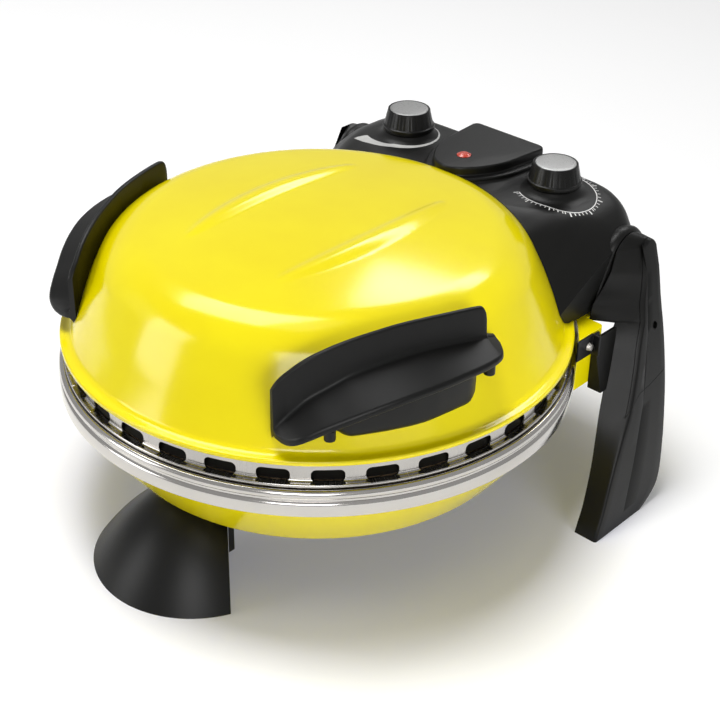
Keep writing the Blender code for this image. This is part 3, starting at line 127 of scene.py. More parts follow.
def add_node(
    tree: Tree, kind: str, inputs: dict[str | int, object] | None = None, **settings: object
) -> bpy.types.Node:
    """Adds a node with its settings, values and links.

    Args:
        tree: Node tree that gets the node.
        kind: Blender's name of the node type.
        inputs: Value or output socket for each input, by name or place.
        settings: Properties of the node.

    Returns:
        The new node.
    """
    node = tree.nodes.new(kind)
    for key, value in settings.items():
        setattr(node, key, value)
    for key, value in (inputs or {}).items():
        if isinstance(value, Socket):
            tree.links.new(value, node.inputs[key])
        else:
            node.inputs[key].default_value = value
    return node


def calc(tree: Tree, operation: str, first: Socket, second: Socket | float) -> Socket:
    """Adds a math node on two values.

    Args:
        tree: Node tree that gets the node.
        operation: Blender's name of the operation.
        first: First value.
        second: Second value.

    Returns:
        Value output.
    """
    return add_node(tree, "ShaderNodeMath", {0: first, 1: second}, operation=operation).outputs[0]


@dataclass(frozen=True)
class Finish:
    """Surface of one real material; its patterns read Object coordinates.

    Attributes:
        name: Material's name.
        colour: Main colour.
        second: Colour of its patches, grains or streaks.
        roughness: Lowest and highest roughness.
        grain: Size of the surface's texture in metres.
        relief: Height of that texture in metres.
        patches: Size of its slow colour changes in metres.
        metallic: Principled metallic value.
        coat: Weight of a clear coat.
        gleam: Principled specular level.
        centre: Point in the frame that round patterns turn about.
    """

    name: str
    colour: str
    second: str
    roughness: tuple[float, float]
    grain: float
    relief: float
    patches: float = 60 * MM
    metallic: float = 0.0
    coat: float = 0.0
    gleam: float = 0.5
    centre: tuple[float, float, float] = (0.0, 0.0, 0.0)

    def make(self) -> bpy.types.Material:
        """Builds the material.

        Returns:
            The finished material.
        """
        material = bpy.data.materials.new(self.name)
        material.use_nodes = True
        tree = material.node_tree
        shader = tree.nodes["Principled BSDF"]
        shader.inputs["Metallic"].default_value = self.metallic
        shader.inputs["Coat Weight"].default_value = self.coat
        shader.inputs["Coat Roughness"].default_value = 0.10
        shader.inputs["Specular IOR Level"].default_value = self.gleam
        place = add_node(tree, "ShaderNodeTexCoord").outputs["Object"]
        self.surface(tree, shader, place)
        return material

    def scaled(self, tree: Tree, place: Socket, size: float) -> Socket:
        """Centres the coordinates and counts them in units of a pattern's size.

        Args:
            tree: Material's node tree.
            place: Object coordinates.
            size: Real size of the pattern in metres.

        Returns:
            Vector output.
        """
        node = add_node(
            tree, "ShaderNodeMapping", {"Vector": place, "Location": self.centre, "Scale": (size, size, size)},
            vector_type="TEXTURE",
        )
        return node.outputs["Vector"]

    def noise(self, tree: Tree, vector: Socket, detail: float = 3.0) -> Socket:
        """Cloud noise on a vector whose unit is the pattern's size.

        Args:
            tree: Material's node tree.
            vector: Scaled coordinates.
            detail: Noise detail.

        Returns:
            Value output.
        """
        node = add_node(tree, "ShaderNodeTexNoise", {"Vector": vector, "Scale": 1.0, "Detail": detail})
        return node.outputs["Fac"]

    def blend(self, tree: Tree, amount: Socket, low: float, high: float) -> Socket:
        """Mixes the two colours where the amount passes from low to high.

        Args:
            tree: Material's node tree.
            amount: Value between 0 and 1.
            low: Amount that is still the main colour.
            high: Amount from which the second colour is full.

        Returns:
            Colour output.
        """
        ramp = add_node(tree, "ShaderNodeValToRGB", {"Fac": amount})
        ramp.color_ramp.elements[0].position = low
        ramp.color_ramp.elements[0].color = linear(self.colour)
        ramp.color_ramp.elements[1].position = high
        ramp.color_ramp.elements[1].color = linear(self.second)
        return ramp.outputs["Color"]

    def dull(self, tree: Tree, amount: Socket) -> Socket:
        """Turns an amount into roughness.

        Args:
            tree: Material's node tree.
            amount: Value between 0 and 1.

        Returns:
            Value output between the two roughness values.
        """
        node = add_node(
            tree,
            "ShaderNodeMapRange",
            {
                "Value": amount,
                "From Min": 0.3,
                "From Max": 0.7,
                "To Min": self.roughness[0],
                "To Max": self.roughness[1],
            },
        )
        return node.outputs["Result"]

    def bump(self, tree: Tree, height: Socket, strength: float = 1.0) -> Socket:
        """Relief of the surface's texture.

        Args:
            tree: Material's node tree.
            height: Value between 0 and 1.
            strength: Share of the effect.

        Returns:
            Normal output.
        """
        node = add_node(
            tree, "ShaderNodeBump", {"Height": height, "Distance": self.relief, "Strength": strength}
        )
        return node.outputs["Normal"]

    def surface(self, tree: Tree, shader: bpy.types.Node, place: Socket) -> None:
        """Links colour, roughness and relief: slow patches and an even fine texture.

        Args:
            tree: Material's node tree.
            shader: Principled shader.
            place: Object coordinates.
        """
        cloud = self.noise(tree, self.scaled(tree, place, self.patches))
        fine = self.noise(tree, self.scaled(tree, place, self.grain), 2.0)
        tree.links.new(self.blend(tree, cloud, 0.35, 0.75), shader.inputs["Base Color"])
        tree.links.new(self.dull(tree, cloud), shader.inputs["Roughness"])
        tree.links.new(self.bump(tree, fine), shader.inputs["Normal"])


@dataclass(frozen=True)
class MouldedPlastic(Finish):
    """Moulded plastic from a spark-eroded tool: an even satin with fine pits that scatter the light."""

    pit_share: float = 0.6

    def surface(self, tree: Tree, shader: bpy.types.Node, place: Socket) -> None:
        """Adds rounded pits to the slow patches.

        Args:
            tree: Material's node tree.
            shader: Principled shader.
            place: Object coordinates.
        """
        cloud = self.noise(tree, self.scaled(tree, place, self.patches))
        grit = self.scaled(tree, place, self.grain)
        fine = self.noise(tree, grit, 2.0)
        pits = add_node(tree, "ShaderNodeTexVoronoi", {"Vector": grit, "Scale": 1.0}, feature="SMOOTH_F1")
        height = add_node(
            tree, "ShaderNodeMix", {"Factor": self.pit_share, "A": fine, "B": pits.outputs["Distance"]},
            data_type="FLOAT",
        ).outputs["Result"]
        tree.links.new(self.blend(tree, cloud, 0.3, 0.8), shader.inputs["Base Color"])
        tree.links.new(self.dull(tree, fine), shader.inputs["Roughness"])
        tree.links.new(self.bump(tree, height), shader.inputs["Normal"])


class Grain(Enum):
    """Direction of the polishing lines on a turned sheet."""

    AROUND = "around"
    ACROSS = "across"


@dataclass(frozen=True)
class PolishedSheet(Finish):
    """Bright rolled stainless steel: mirror-like, with fine polishing lines around or across it."""

    lines: Grain = Grain.AROUND

    def surface(self, tree: Tree, shader: bpy.types.Node, place: Socket) -> None:
        """Stretches the noise along the polishing lines.

        Args:
            tree: Material's node tree.
            shader: Principled shader.
            place: Object coordinates.
        """
        middle = add_node(
            tree, "ShaderNodeMapping", {"Vector": place, "Location": self.centre}, vector_type="TEXTURE"
        ).outputs["Vector"]
        x, y, z = add_node(tree, "ShaderNodeSeparateXYZ", {"Vector": middle}).outputs
        reach = calc(tree, "ADD", calc(tree, "MULTIPLY", x, x), calc(tree, "MULTIPLY", y, y))
        radius = calc(tree, "POWER", reach, 0.5)
        angle = calc(tree, "ARCTAN2", y, x)
        around = 170 * MM / self.grain if self.lines is Grain.ACROSS else 4.0
        across = 1 / (30 * MM) if self.lines is Grain.ACROSS else 1 / self.grain
        streak = add_node(
            tree,
            "ShaderNodeCombineXYZ",
            {
                "X": calc(tree, "MULTIPLY", radius, across),
                "Y": calc(tree, "MULTIPLY", angle, around),
                "Z": calc(tree, "MULTIPLY", z, across),
            },
        ).outputs["Vector"]
        lines = self.noise(tree, streak, 4.0)
        cloud = self.noise(tree, self.scaled(tree, place, self.patches))
        tree.links.new(self.blend(tree, cloud, 0.3, 0.8), shader.inputs["Base Color"])
        tree.links.new(self.dull(tree, lines), shader.inputs["Roughness"])
        tree.links.new(self.bump(tree, lines), shader.inputs["Normal"])


@dataclass(frozen=True)
class FiredStone(Finish):
    """Cordierite baking stone: a dry, porous biscuit with dark and pale grit."""

    grit: str = "#8C7660"

    def surface(self, tree: Tree, shader: bpy.types.Node, place: Socket) -> None:
        """Scatters grit over the stone and opens pores in it.

        Args:
            tree: Material's node tree.
            shader: Principled shader.
            place: Object coordinates.
        """
        cloud = self.noise(tree, self.scaled(tree, place, self.patches), 5.0)
        ground = self.blend(tree, cloud, 0.3, 0.7)
        grains = self.scaled(tree, place, self.grain)
        speck = self.noise(tree, grains, 1.0)
        mask = add_node(
            tree, "ShaderNodeMapRange", {"Value": speck, "From Min": 0.62, "From Max": 0.68}
        ).outputs["Result"]
        speckled = add_node(
            tree, "ShaderNodeMix", {"Factor": mask, 6: ground, 7: linear(self.grit)}, data_type="RGBA"
        ).outputs[2]
        pores = add_node(tree, "ShaderNodeTexVoronoi", {"Vector": grains, "Scale": 0.7}).outputs["Distance"]
        tree.links.new(speckled, shader.inputs["Base Color"])
        tree.links.new(self.dull(tree, speck), shader.inputs["Roughness"])
        tree.links.new(self.bump(tree, pores), shader.inputs["Normal"])


class Palette:
    """Materials of the oven, each made once."""

    def __init__(self, centre: Vector) -> None:
        """Makes the materials.

        Args:
            centre: Foot of the pan's axis in the frame.
        """
        axis = (centre.x, centre.y, 0.0)
        # Stoving enamel on pressed sheet: wet gloss with a faint orange peel
        self.enamel = Finish(
            "yellow_stoving_enamel", "#F5E400", "#F0DC00", (0.13, 0.18), 1.6 * MM, 0.0015 * MM, coat=0.12, gleam=0.42
        ).make()
        # Glass-filled polyamide with a fine spark-eroded grain: satin black that turns grey at a glance
        self.plastic = MouldedPlastic(
            "black_moulded_polyamide", "#080807", "#0B0B0A", (0.34, 0.44), 0.55 * MM, 0.018 * MM, gleam=0.26
        ).make()
        # The same plastic from a smoother tool, on the knobs' touched sides
        self.knob_plastic = MouldedPlastic(
            "black_knob_plastic", "#0D0D0D", "#121211", (0.26, 0.34), 0.5 * MM, 0.010 * MM, gleam=0.25
        ).make()
        # Bright annealed stainless strip: a mirror with lines that run round the rim
        self.band = PolishedSheet(
            "bright_rolled_steel", "#C9C6C2", "#BDBAB6", (0.10, 0.20), 0.5 * MM, 0.0012 * MM, metallic=1.0,
            centre=axis,
        ).make()
        # Punched strip with its rolling lines across the ring, which shows as fine upright hatching
        self.vents = PolishedSheet(
            "punched_steel_strip", "#BEBBB7", "#A9A6A2", (0.14, 0.30), 0.45 * MM, 0.004 * MM, metallic=1.0,
            centre=axis, lines=Grain.ACROSS,
        ).make()
        # Aluminised deep-drawn sheet inside the chamber: dull silver with drawing rings
        self.dish = PolishedSheet(
            "aluminised_sheet", "#BDBBB6", "#A8A5A0", (0.28, 0.42), 1.2 * MM, 0.008 * MM, metallic=1.0, centre=axis
        ).make()
        # The same sheet above the upper element, painted dark as painted shade so that the vent slots look shaded
        # inside
        self.painted_shade_sheet = PolishedSheet(
            "shade_darkened_sheet", "#33322F", "#242321", (0.45, 0.60), 1.2 * MM, 0.010 * MM, metallic=1.0, centre=axis
        ).make()
        # Nickel-plated pins, shafts and screws
        self.plated = Finish(
            "nickel_plated_steel", "#C9C5BE", "#B8B4AD", (0.18, 0.32), 0.8 * MM, 0.004 * MM, 8 * MM, 1.0
        ).make()
        # Oxidised sheath of the heating tubes: grey-green and dry
        self.sheath = Finish(
            "oxidised_heater_sheath", "#5A5B55", "#3E3F3C", (0.42, 0.62), 0.9 * MM, 0.02 * MM, 12 * MM, 1.0
        ).make()
        # Phosphated spring steel of clips and brackets
        self.phosphate = Finish(
            "phosphated_steel", "#3A3A3C", "#2C2C2E", (0.34, 0.5), 0.8 * MM, 0.012 * MM, 10 * MM, 1.0
        ).make()
        # Unglazed steatite blocks
        self.ceramic = Finish(
            "unglazed_steatite", "#E6E1D6", "#D8D0C0", (0.55, 0.7), 0.7 * MM, 0.02 * MM, 9 * MM
        ).make()
        # Dry porous baking stone
        self.stone = FiredStone(
            "cordierite_stone", "#C9AF92", "#B89A7A", (0.82, 0.95), 1.4 * MM, 0.18 * MM, 25 * MM
        ).make()
        # Translucent red lamp cover
        self.lens = Finish(
            "red_acrylic_lens", "#C8452F", "#B43322", (0.10, 0.18), 1.1 * MM, 0.12 * MM, 3 * MM, coat=0.5
        ).make()
        # Cord bushing
        self.rubber = Finish(
            "black_rubber", "#1A1A1A", "#222221", (0.62, 0.78), 0.6 * MM, 0.03 * MM, 10 * MM
        ).make()
        # Pad-printed scale ink
        self.grey_ink = Finish(
            "grey_scale_ink", "#BDBDBB", "#B2B2B0", (0.45, 0.6), 0.4 * MM, 0.004 * MM, 6 * MM
        ).make()
        self.white_ink = Finish(
            "white_scale_ink", "#E4E4E2", "#D6D6D4", (0.45, 0.6), 0.4 * MM, 0.004 * MM, 6 * MM
        ).make()

    @staticmethod
    def cap(centre: Vector) -> bpy.types.Material:
        """Spun aluminium disc: fine rings that fan the light from its middle.

        Args:
            centre: Middle of the cap in the frame.

        Returns:
            Material of one cap.
        """
        return PolishedSheet(
            "spun_aluminium", "#B9B9B8", "#ABABAA", (0.26, 0.38), 0.35 * MM, 0.004 * MM, metallic=1.0,
            centre=tuple(centre),
        ).make()


def soften(
    path: Iterable[Sequence[float]], radii: Sequence[float], steps: int, closed: bool = False
) -> list[Vector]:
    """Rounds the corners of a path with curves of an equal number of points.

    Args:
        path: Corners.
        radii: Reach of the rounding along both sides of each corner; 0 keeps it sharp.
        steps: Steps of each rounding.
        closed: Whether the last corner joins the first.

    Returns:
        Points of the softened path.
    """
    out: list[Vector] = []
    points = [Vector(corner) for corner in path]
    count = len(points)
    for index, (corner, reach) in enumerate(zip(points, radii, strict=True)):
        if reach <= 0 or (not closed and index in (0, count - 1)):
            out.append(corner.copy())
            continue
        before = points[index - 1] - corner
        after = points[(index + 1) % count] - corner
        used = min(reach, 0.49 * before.length, 0.49 * after.length)
        start = corner + before.normalized() * used
        end = corner + after.normalized() * used
        pull = 0.56
        curve = interpolate_bezier(
            start.to_3d(), start.lerp(corner, pull).to_3d(), end.lerp(corner, pull).to_3d(), end.to_3d(), steps + 1
        )
        out.extend(point.to_2d() for point in curve)
    return out


def turned(profile: Sequence[Vector], steps: int, closed: bool = False) -> Mesh:
    """Spins a (radius, z) profile about the vertical axis.

    Args:
        profile: Points of the profile.
        steps: Steps of the full turn.
        closed: Whether the profile is a ring.

    Returns:
        Mesh with its seam and poles closed and its faces outwards.
    """
    bm = bmesh.new()
    verts = [bm.verts.new((point.x, 0.0, point.y)) for point in profile]
    pairs = list(zip(verts, verts[1:]))
    if closed:
        pairs.append((verts[-1], verts[0]))
    edges = [bm.edges.new(pair) for pair in pairs]
    bmesh.ops.spin(
        bm, geom=verts + edges, cent=(0, 0, 0), axis=(0, 0, 1), dvec=(0, 0, 0), angle=math.tau, steps=steps,
        use_merge=True, use_duplicate=False,
    )
    bmesh.ops.remove_doubles(bm, verts=bm.verts, dist=1e-6)
    bmesh.ops.recalc_face_normals(bm, faces=bm.faces)
    return bm


def lofted(rings: Sequence[Sequence[Vector]], bm: Mesh | None = None) -> Mesh:
    """Draws a skin from ring to ring and closes both ends.

    Args:
        rings: Rings with equal numbers of points.
        bm: Mesh that gets the skin; a new one by default.

    Returns:
        Closed mesh with its faces outwards.
    """
    bm = bm or bmesh.new()
    row = [bm.verts.new(point) for point in rings[0]]
    edges = [bm.edges.new(pair) for pair in zip(row, row[1:] + row[:1])]
    bmesh.ops.edgeloop_fill(bm, edges=edges)
    for ring in rings[1:]:
        places = {tuple(vert.co): index for index, vert in enumerate(row)}
        grown = bmesh.ops.extrude_edge_only(bm, edges=edges)
        fresh = [item for item in grown["geom"] if isinstance(item, bmesh.types.BMVert)]
        row = sorted(fresh, key=lambda vert: places[tuple(vert.co)])
        for vert, point in zip(row, ring, strict=True):
            vert.co = point
        edges = [bm.edges.get(pair) for pair in zip(row, row[1:] + row[:1])]
    bmesh.ops.edgeloop_fill(bm, edges=edges)
    bmesh.ops.recalc_face_normals(bm, faces=bm.faces)
    return bm


def glide(rows: Sequence[Sequence[float]], count: int) -> list[tuple[float, ...]]:
    """Fills a table of stations with smooth rows in between.

    Args:
        rows: Stations.
        count: Steps from each station to the next.

    Returns:
        All rows, the stations among them.
    """
    out = []
    for index, (start, end) in enumerate(zip(rows, rows[1:])):
        before = rows[max(index - 1, 0)]
        after = rows[min(index + 2, len(rows) - 1)]
        for step in range(count):
            t = step / count
            weights = (
                -0.5 * t + t * t - 0.5 * t**3,
                1 - 2.5 * t * t + 1.5 * t**3,
                0.5 * t + 2 * t * t - 1.5 * t**3,
                -0.5 * t * t + 0.5 * t**3,
            )
            columns = zip(before, start, end, after)
            out.append(tuple(sum(w * value for w, value in zip(weights, column)) for column in columns))
    out.append(tuple(rows[-1]))
    return out


def rod(start: Vector, end: Vector, radius: float, segments: int = 48) -> Mesh:
    """Round bar between two points.

    Args:
        start: First end.
        end: Second end.
        radius: Radius.
        segments: Sides.

    Returns:
        Closed mesh.
    """
    along = end - start
    turn = along.to_track_quat("Z", "Y").to_matrix().to_4x4()
    bm = bmesh.new()
    bmesh.ops.create_cone(
        bm, cap_ends=True, segments=segments, radius1=radius, radius2=radius, depth=along.length,
        matrix=Matrix.Translation((start + end) / 2) @ turn,
    )
    return bm


@dataclass
class Workshop:
    """Places finished meshes in the frame, dresses them and keeps the log.

    Attributes:
        nodes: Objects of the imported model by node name.
        centre: Foot of the pan's axis in the frame.
        palette: Materials.
    """

    nodes: dict[str, bpy.types.Object]
    centre: Vector
    palette: Palette

    def publish(
        self,
        bm: Mesh,
        name: str,
        body: Body,
        material: bpy.types.Material,
        replaces: Iterable[str] = (),
        wall: float = 0.0,
        bevel: float = 0.0,
        crease: float = 35.0,
        moved: bool = True,
    ) -> None:
        """Makes a piece from a mesh.

        Args:
            bm: Mesh, in oven coordinates where moved is true; it is freed.
            name: Name of the piece.
            body: Body that it rides on.
            material: Finish of the piece.
            replaces: Nodes that the piece stands for.
            wall: Sheet thickness that is added inwards.
            bevel: Width of the softened edges.
            crease: Angle in degrees from which an edge stays crisp.
            moved: Whether the mesh still has to go from the oven's axis to its place.
        """
        if moved:
            bmesh.ops.translate(bm, verts=bm.verts, vec=self.centre)
        mesh = bpy.data.meshes.new(name)
        bm.to_mesh(mesh)
        bm.free()
        mesh.shade_smooth()
        mesh.set_sharp_from_angle(angle=math.radians(crease))
        mesh.materials.append(material)
        piece = bpy.data.objects.new(name, mesh)
        bpy.context.scene.collection.objects.link(piece)
        if wall:
            shell = piece.modifiers.new("sheet", "SOLIDIFY")
            shell.thickness = wall
            shell.offset = -1
            shell.use_even_offset = True
        if bevel:
            edge = piece.modifiers.new("soft_edges", "BEVEL")
            edge.width = bevel
            edge.segments = 2
            edge.limit_method = "ANGLE"
            edge.angle_limit = math.radians(crease)
            edge.harden_normals = True
            edge.use_clamp_overlap = True
        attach(piece, body.value)
        names = list(replaces)
        if names:
            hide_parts(*names)
        LOG.info("%s: %d faces on %s", name, len(mesh.polygons), body.value)

    def refine(
        self, node: str, body: Body, material: bpy.types.Material, bevel: float = 0.4 * MM
    ) -> None:
        """Replaces a node by a joined copy of its mesh with softened edges.

        Args:
            node: Name of the node.
            body: Body that it rides on.
            material: Finish of the piece.
            bevel: Width of the softened edges.
        """
        bm = bmesh.new()
        bm.from_mesh(self.nodes[node].data)
        bmesh.ops.remove_doubles(bm, verts=bm.verts, dist=0.004 * MM)
        bmesh.ops.dissolve_limit(
            bm, angle_limit=math.radians(0.5), use_dissolve_boundaries=False, verts=bm.verts, edges=bm.edges
        )
        self.publish(bm, f"{node}.fine", body, material, [node], bevel=bevel, moved=False)

    def dress(self, node: str, material: bpy.types.Material) -> None:
        """Gives a node that stays as it is its finish.

        Args:
            node: Name of the node.
            material: Finish of the node.
        """
        for place in self.nodes[node].material_slots:
            place.material = material
        LOG.info("%s: dressed", node)


@dataclass
class LidShell:
    """Pressed lid dome, its vent ring and the reflector inside.

    Attributes:
        rim_radius: Outer radius of the dome's flange.
        flange_z: Height of the flange's lower edge.
        rise: Height of the crown above the flange.
        crown_radius: Radius of the shallow crown.
        crown_end: Radius where the crown turns into the shoulder.
        shoulder: Corner that the shoulder rounds, from the axis and above the flange.
        waist: Point of the flank, from the axis and above the flange.
        flange_width: Width of the flat flange.
        flange_height: Thickness of the flange.
        rib_half_length: Half the length of a pressed rib.
        rib_end_x: Distance of a rib's ends from the middle line.
        rib_bulge: How far its middle stands further out.
        rib_half_width: Half its greatest width.
        rib_height: Its height.
        vent_radius: Outer radius of the vent ring.
        vent_count: Number of slots.
        vent_span: Angle that a slot takes, in degrees.
        vent_turn: Angle of the first slot, in degrees.
        vent_height: Height of a slot.
        steps: Steps of a full turn.
    """

    rim_radius: float = 172 * MM
    flange_z: float = 134 * MM
    rise: float = 78 * MM
    crown_radius: float = 950 * MM
    crown_end: float = 114 * MM
    shoulder: tuple[float, float] = (134.2 * MM, 68.3 * MM)
    waist: tuple[float, float] = (152.5 * MM, 32.5 * MM)
    flange_width: float = 6.7 * MM
    flange_height: float = 3.2 * MM
    rib_half_length: float = 77 * MM
    rib_end_x: float = 41 * MM
    rib_bulge: float = 8 * MM
    rib_half_width: float = 10 * MM
    rib_height: float = 2.6 * MM
    vent_radius: float = 166 * MM
    vent_count: int = 32
    vent_span: float = 7.0
    vent_turn: float = 1.7
    vent_height: float = 8.5 * MM
    steps: int = 256

    def crown_z(self, radius: float) -> float:
        """Height of the crown at a distance from the axis."""
        return self.flange_z + self.rise - radius**2 / (2 * self.crown_radius)

    def outline(self) -> list[Vector]:
        """Outer side of the dome from its crown to the flange's lower edge.

        Returns:
            Points as (radius, z).
        """
        rings = 50
        crown = [self.crown_end * step / rings for step in range(rings)]
        points = [Vector((radius, self.crown_z(radius))) for radius in crown]
        start = Vector((self.crown_end, self.crown_z(self.crown_end)))
        corner = Vector((self.shoulder[0], self.flange_z + self.shoulder[1]))
        waist = Vector((self.waist[0], self.flange_z + self.waist[1]))
        slope = -self.crown_end / self.crown_radius
        tangent = Vector((corner.x - self.crown_end, slope * (corner.x - self.crown_end)))
        end = corner.lerp(waist, 0.50)
        bend = interpolate_bezier(
            start.to_3d(), (start + tangent * 0.62).to_3d(), end.lerp(corner, 0.62).to_3d(), end.to_3d(), 22
        )
        points.extend(point.to_2d() for point in bend)
        foot_z = self.flange_z + self.flange_height
        root = Vector((self.rim_radius - self.flange_width, foot_z))
        flank = [
            end,
            waist,
            root,
            (self.rim_radius, foot_z - 0.3 * MM),
            (self.rim_radius, self.flange_z),
        ]
        side = soften(flank, [0, 12 * MM, 3.6 * MM, 1.6 * MM, 0], 8)
        points.extend(side[1:])
        return points

    def form(self, gap: float = 0.3 * MM) -> Mesh:
        """Solid of the dome's outside, grown by a gap, that trims the pieces on it.

        Args:
            gap: Clearance.

        Returns:
            Closed mesh in oven coordinates.
        """
        line = self.outline()
        grown = [line[0] + Vector((0, gap))]
        for before, point, after in zip(line, line[1:], line[2:]):
            along = (after - before).normalized()
            grown.append(point + Vector((-along.y, along.x)) * gap)
        edge = self.rim_radius + gap
        grown.append(Vector((edge, PARTING_Z)))
        grown.append(Vector((0, PARTING_Z)))
        return turned(grown, self.steps)

    def press_ribs(self, bm: Mesh) -> None:
        """Raises the two crescents out of the crown.

        Args:
            bm: Spun dome.
        """
        for vert in bm.verts:
            along = vert.co.y / self.rib_half_length
            if abs(along) >= 1:
                continue
            line = self.rib_end_x + self.rib_bulge * (1 - along * along)
            taper = math.sqrt(1 - along * along)
            half = self.rib_half_width * max(taper, 0.2)
            across = (abs(vert.co.x) - line) / half
            if abs(across) < 1:
                vert.co.z += self.rib_height * taper * (1 - across * across) ** 1.2

    def build_dome(self, shop: Workshop) -> None:
        """Spins the enamelled dome and presses its ribs.

        Args:
            shop: Workshop.
        """
        bm = turned(self.outline(), self.steps)
        self.press_ribs(bm)
        bmesh.ops.recalc_face_normals(bm, faces=bm.faces)
        shop.publish(
            bm, "enamelled_dome", Body.LID, shop.palette.enamel, ["lid_dome"], SHEET, crease=50
        )

    def slot_forms(self) -> Mesh:
        """Rounded blocks that punch the vent slots.

        Returns:
            Mesh of all blocks in oven coordinates.
        """
        half = Vector((self.vent_radius * math.radians(self.vent_span) / 2, self.vent_height / 2))
        corners = [(x * half.x, z * half.y) for x, z in ((-1, -1), (1, -1), (1, 1), (-1, 1))]
        outline = soften(corners, [3.4 * MM] * 4, 6, closed=True)
        bm = bmesh.new()
        level = self.flange_z - 11.2 * MM
        back = self.vent_radius - 6 * MM
        verts = [bm.verts.new((point.x, -back, level + point.y)) for point in outline]
        face = bm.faces.new(verts)
        grown = bmesh.ops.extrude_face_region(bm, geom=[face])
        moved = [item for item in grown["geom"] if isinstance(item, bmesh.types.BMVert)]
        bmesh.ops.translate(bm, verts=moved, vec=(0, -10 * MM, 0))
        bmesh.ops.recalc_face_normals(bm, faces=bm.faces)
        first = Matrix.Rotation(math.radians(self.vent_turn), 3, "Z")
        bmesh.ops.rotate(bm, verts=bm.verts, cent=(0, 0, 0), matrix=first)
        bmesh.ops.spin(
            bm, geom=list(bm.verts) + list(bm.edges) + list(bm.faces), cent=(0, 0, 0), axis=(0, 0, 1), dvec=(0, 0, 0),
            angle=math.tau * (self.vent_count - 1) / self.vent_count, steps=self.vent_count - 1, use_merge=False,
            use_duplicate=True,
        )
        bmesh.ops.recalc_face_normals(bm, faces=bm.faces)
        return bm

    def build_vent_ring(self, shop: Workshop) -> None:
        """Spins the ring with its flared foot and punches its slots.

        Args:
            shop: Workshop.
        """
        low = PARTING_Z + 0.15 * MM
        top = self.flange_z + self.flange_height - SHEET - 0.3 * MM
        inner = self.vent_radius - 1 * MM
        points = [
            (self.vent_radius, top),
            (self.vent_radius, low + 2.4 * MM),
            (self.vent_radius + 4.5 * MM, low + 2.6 * MM),
            (self.vent_radius + 4.5 * MM, low),
            (inner, low),
            (inner, top),
        ]
        profile = soften(points, [0, 1.8 * MM, 1.3 * MM, 0.9 * MM, 0.4 * MM, 0], 6, closed=True)
        ring = carve(turned(profile, 320, closed=True), self.slot_forms(), "DIFFERENCE")
        shop.publish(
            ring, "slotted_ring", Body.LID, shop.palette.vents, ["vent_ring"], bevel=0.18 * MM, crease=50
        )

    def build_reflector(self, shop: Workshop) -> None:
        """Spins the dish above the upper element.

        Args:
            shop: Workshop.
        """
        rim = self.vent_radius - 1.3 * MM
        rim_z = PARTING_Z + 3 * MM
        top_z = rim_z + 38.5 * MM
        points = [(0, top_z), (rim - 16.5 * MM, top_z), (rim, rim_z)]
        profile = soften(points, [0, 12 * MM, 0], 8)
        # The dish's dark sheet is painted shade that darkens the vent slots seen from outside
        shop.publish(
            turned(profile, 144), "upper_dish", Body.LID, shop.palette.painted_shade_sheet, ["upper_reflector"],
            0.8 * MM, crease=50,
        )


def carve(bm: Mesh, tool: Mesh, operation: str) -> Mesh:
    """Cuts, joins or intersects two solids.

    Args:
        bm: Solid that is changed; it is freed.
        tool: Second solid; it is freed.
        operation: Boolean operation.

    Returns:
        The result.
    """
    made = []
    for name, form in (("carved", bm), ("tool", tool)):
        mesh = bpy.data.meshes.new(name)
        form.to_mesh(mesh)
        form.free()
        obj = bpy.data.objects.new(name, mesh)
        bpy.context.scene.collection.objects.link(obj)
        made.append(obj)
    modifier = made[0].modifiers.new("boolean", "BOOLEAN")
    modifier.operation = operation
    modifier.object = made[1]
    modifier.solver = "EXACT"
    graph = bpy.context.evaluated_depsgraph_get()
    out = bmesh.new()
    out.from_mesh(made[0].evaluated_get(graph).to_mesh())
    for obj in made:
        mesh = obj.data
        bpy.data.objects.remove(obj)
        bpy.data.meshes.remove(mesh)
    return out


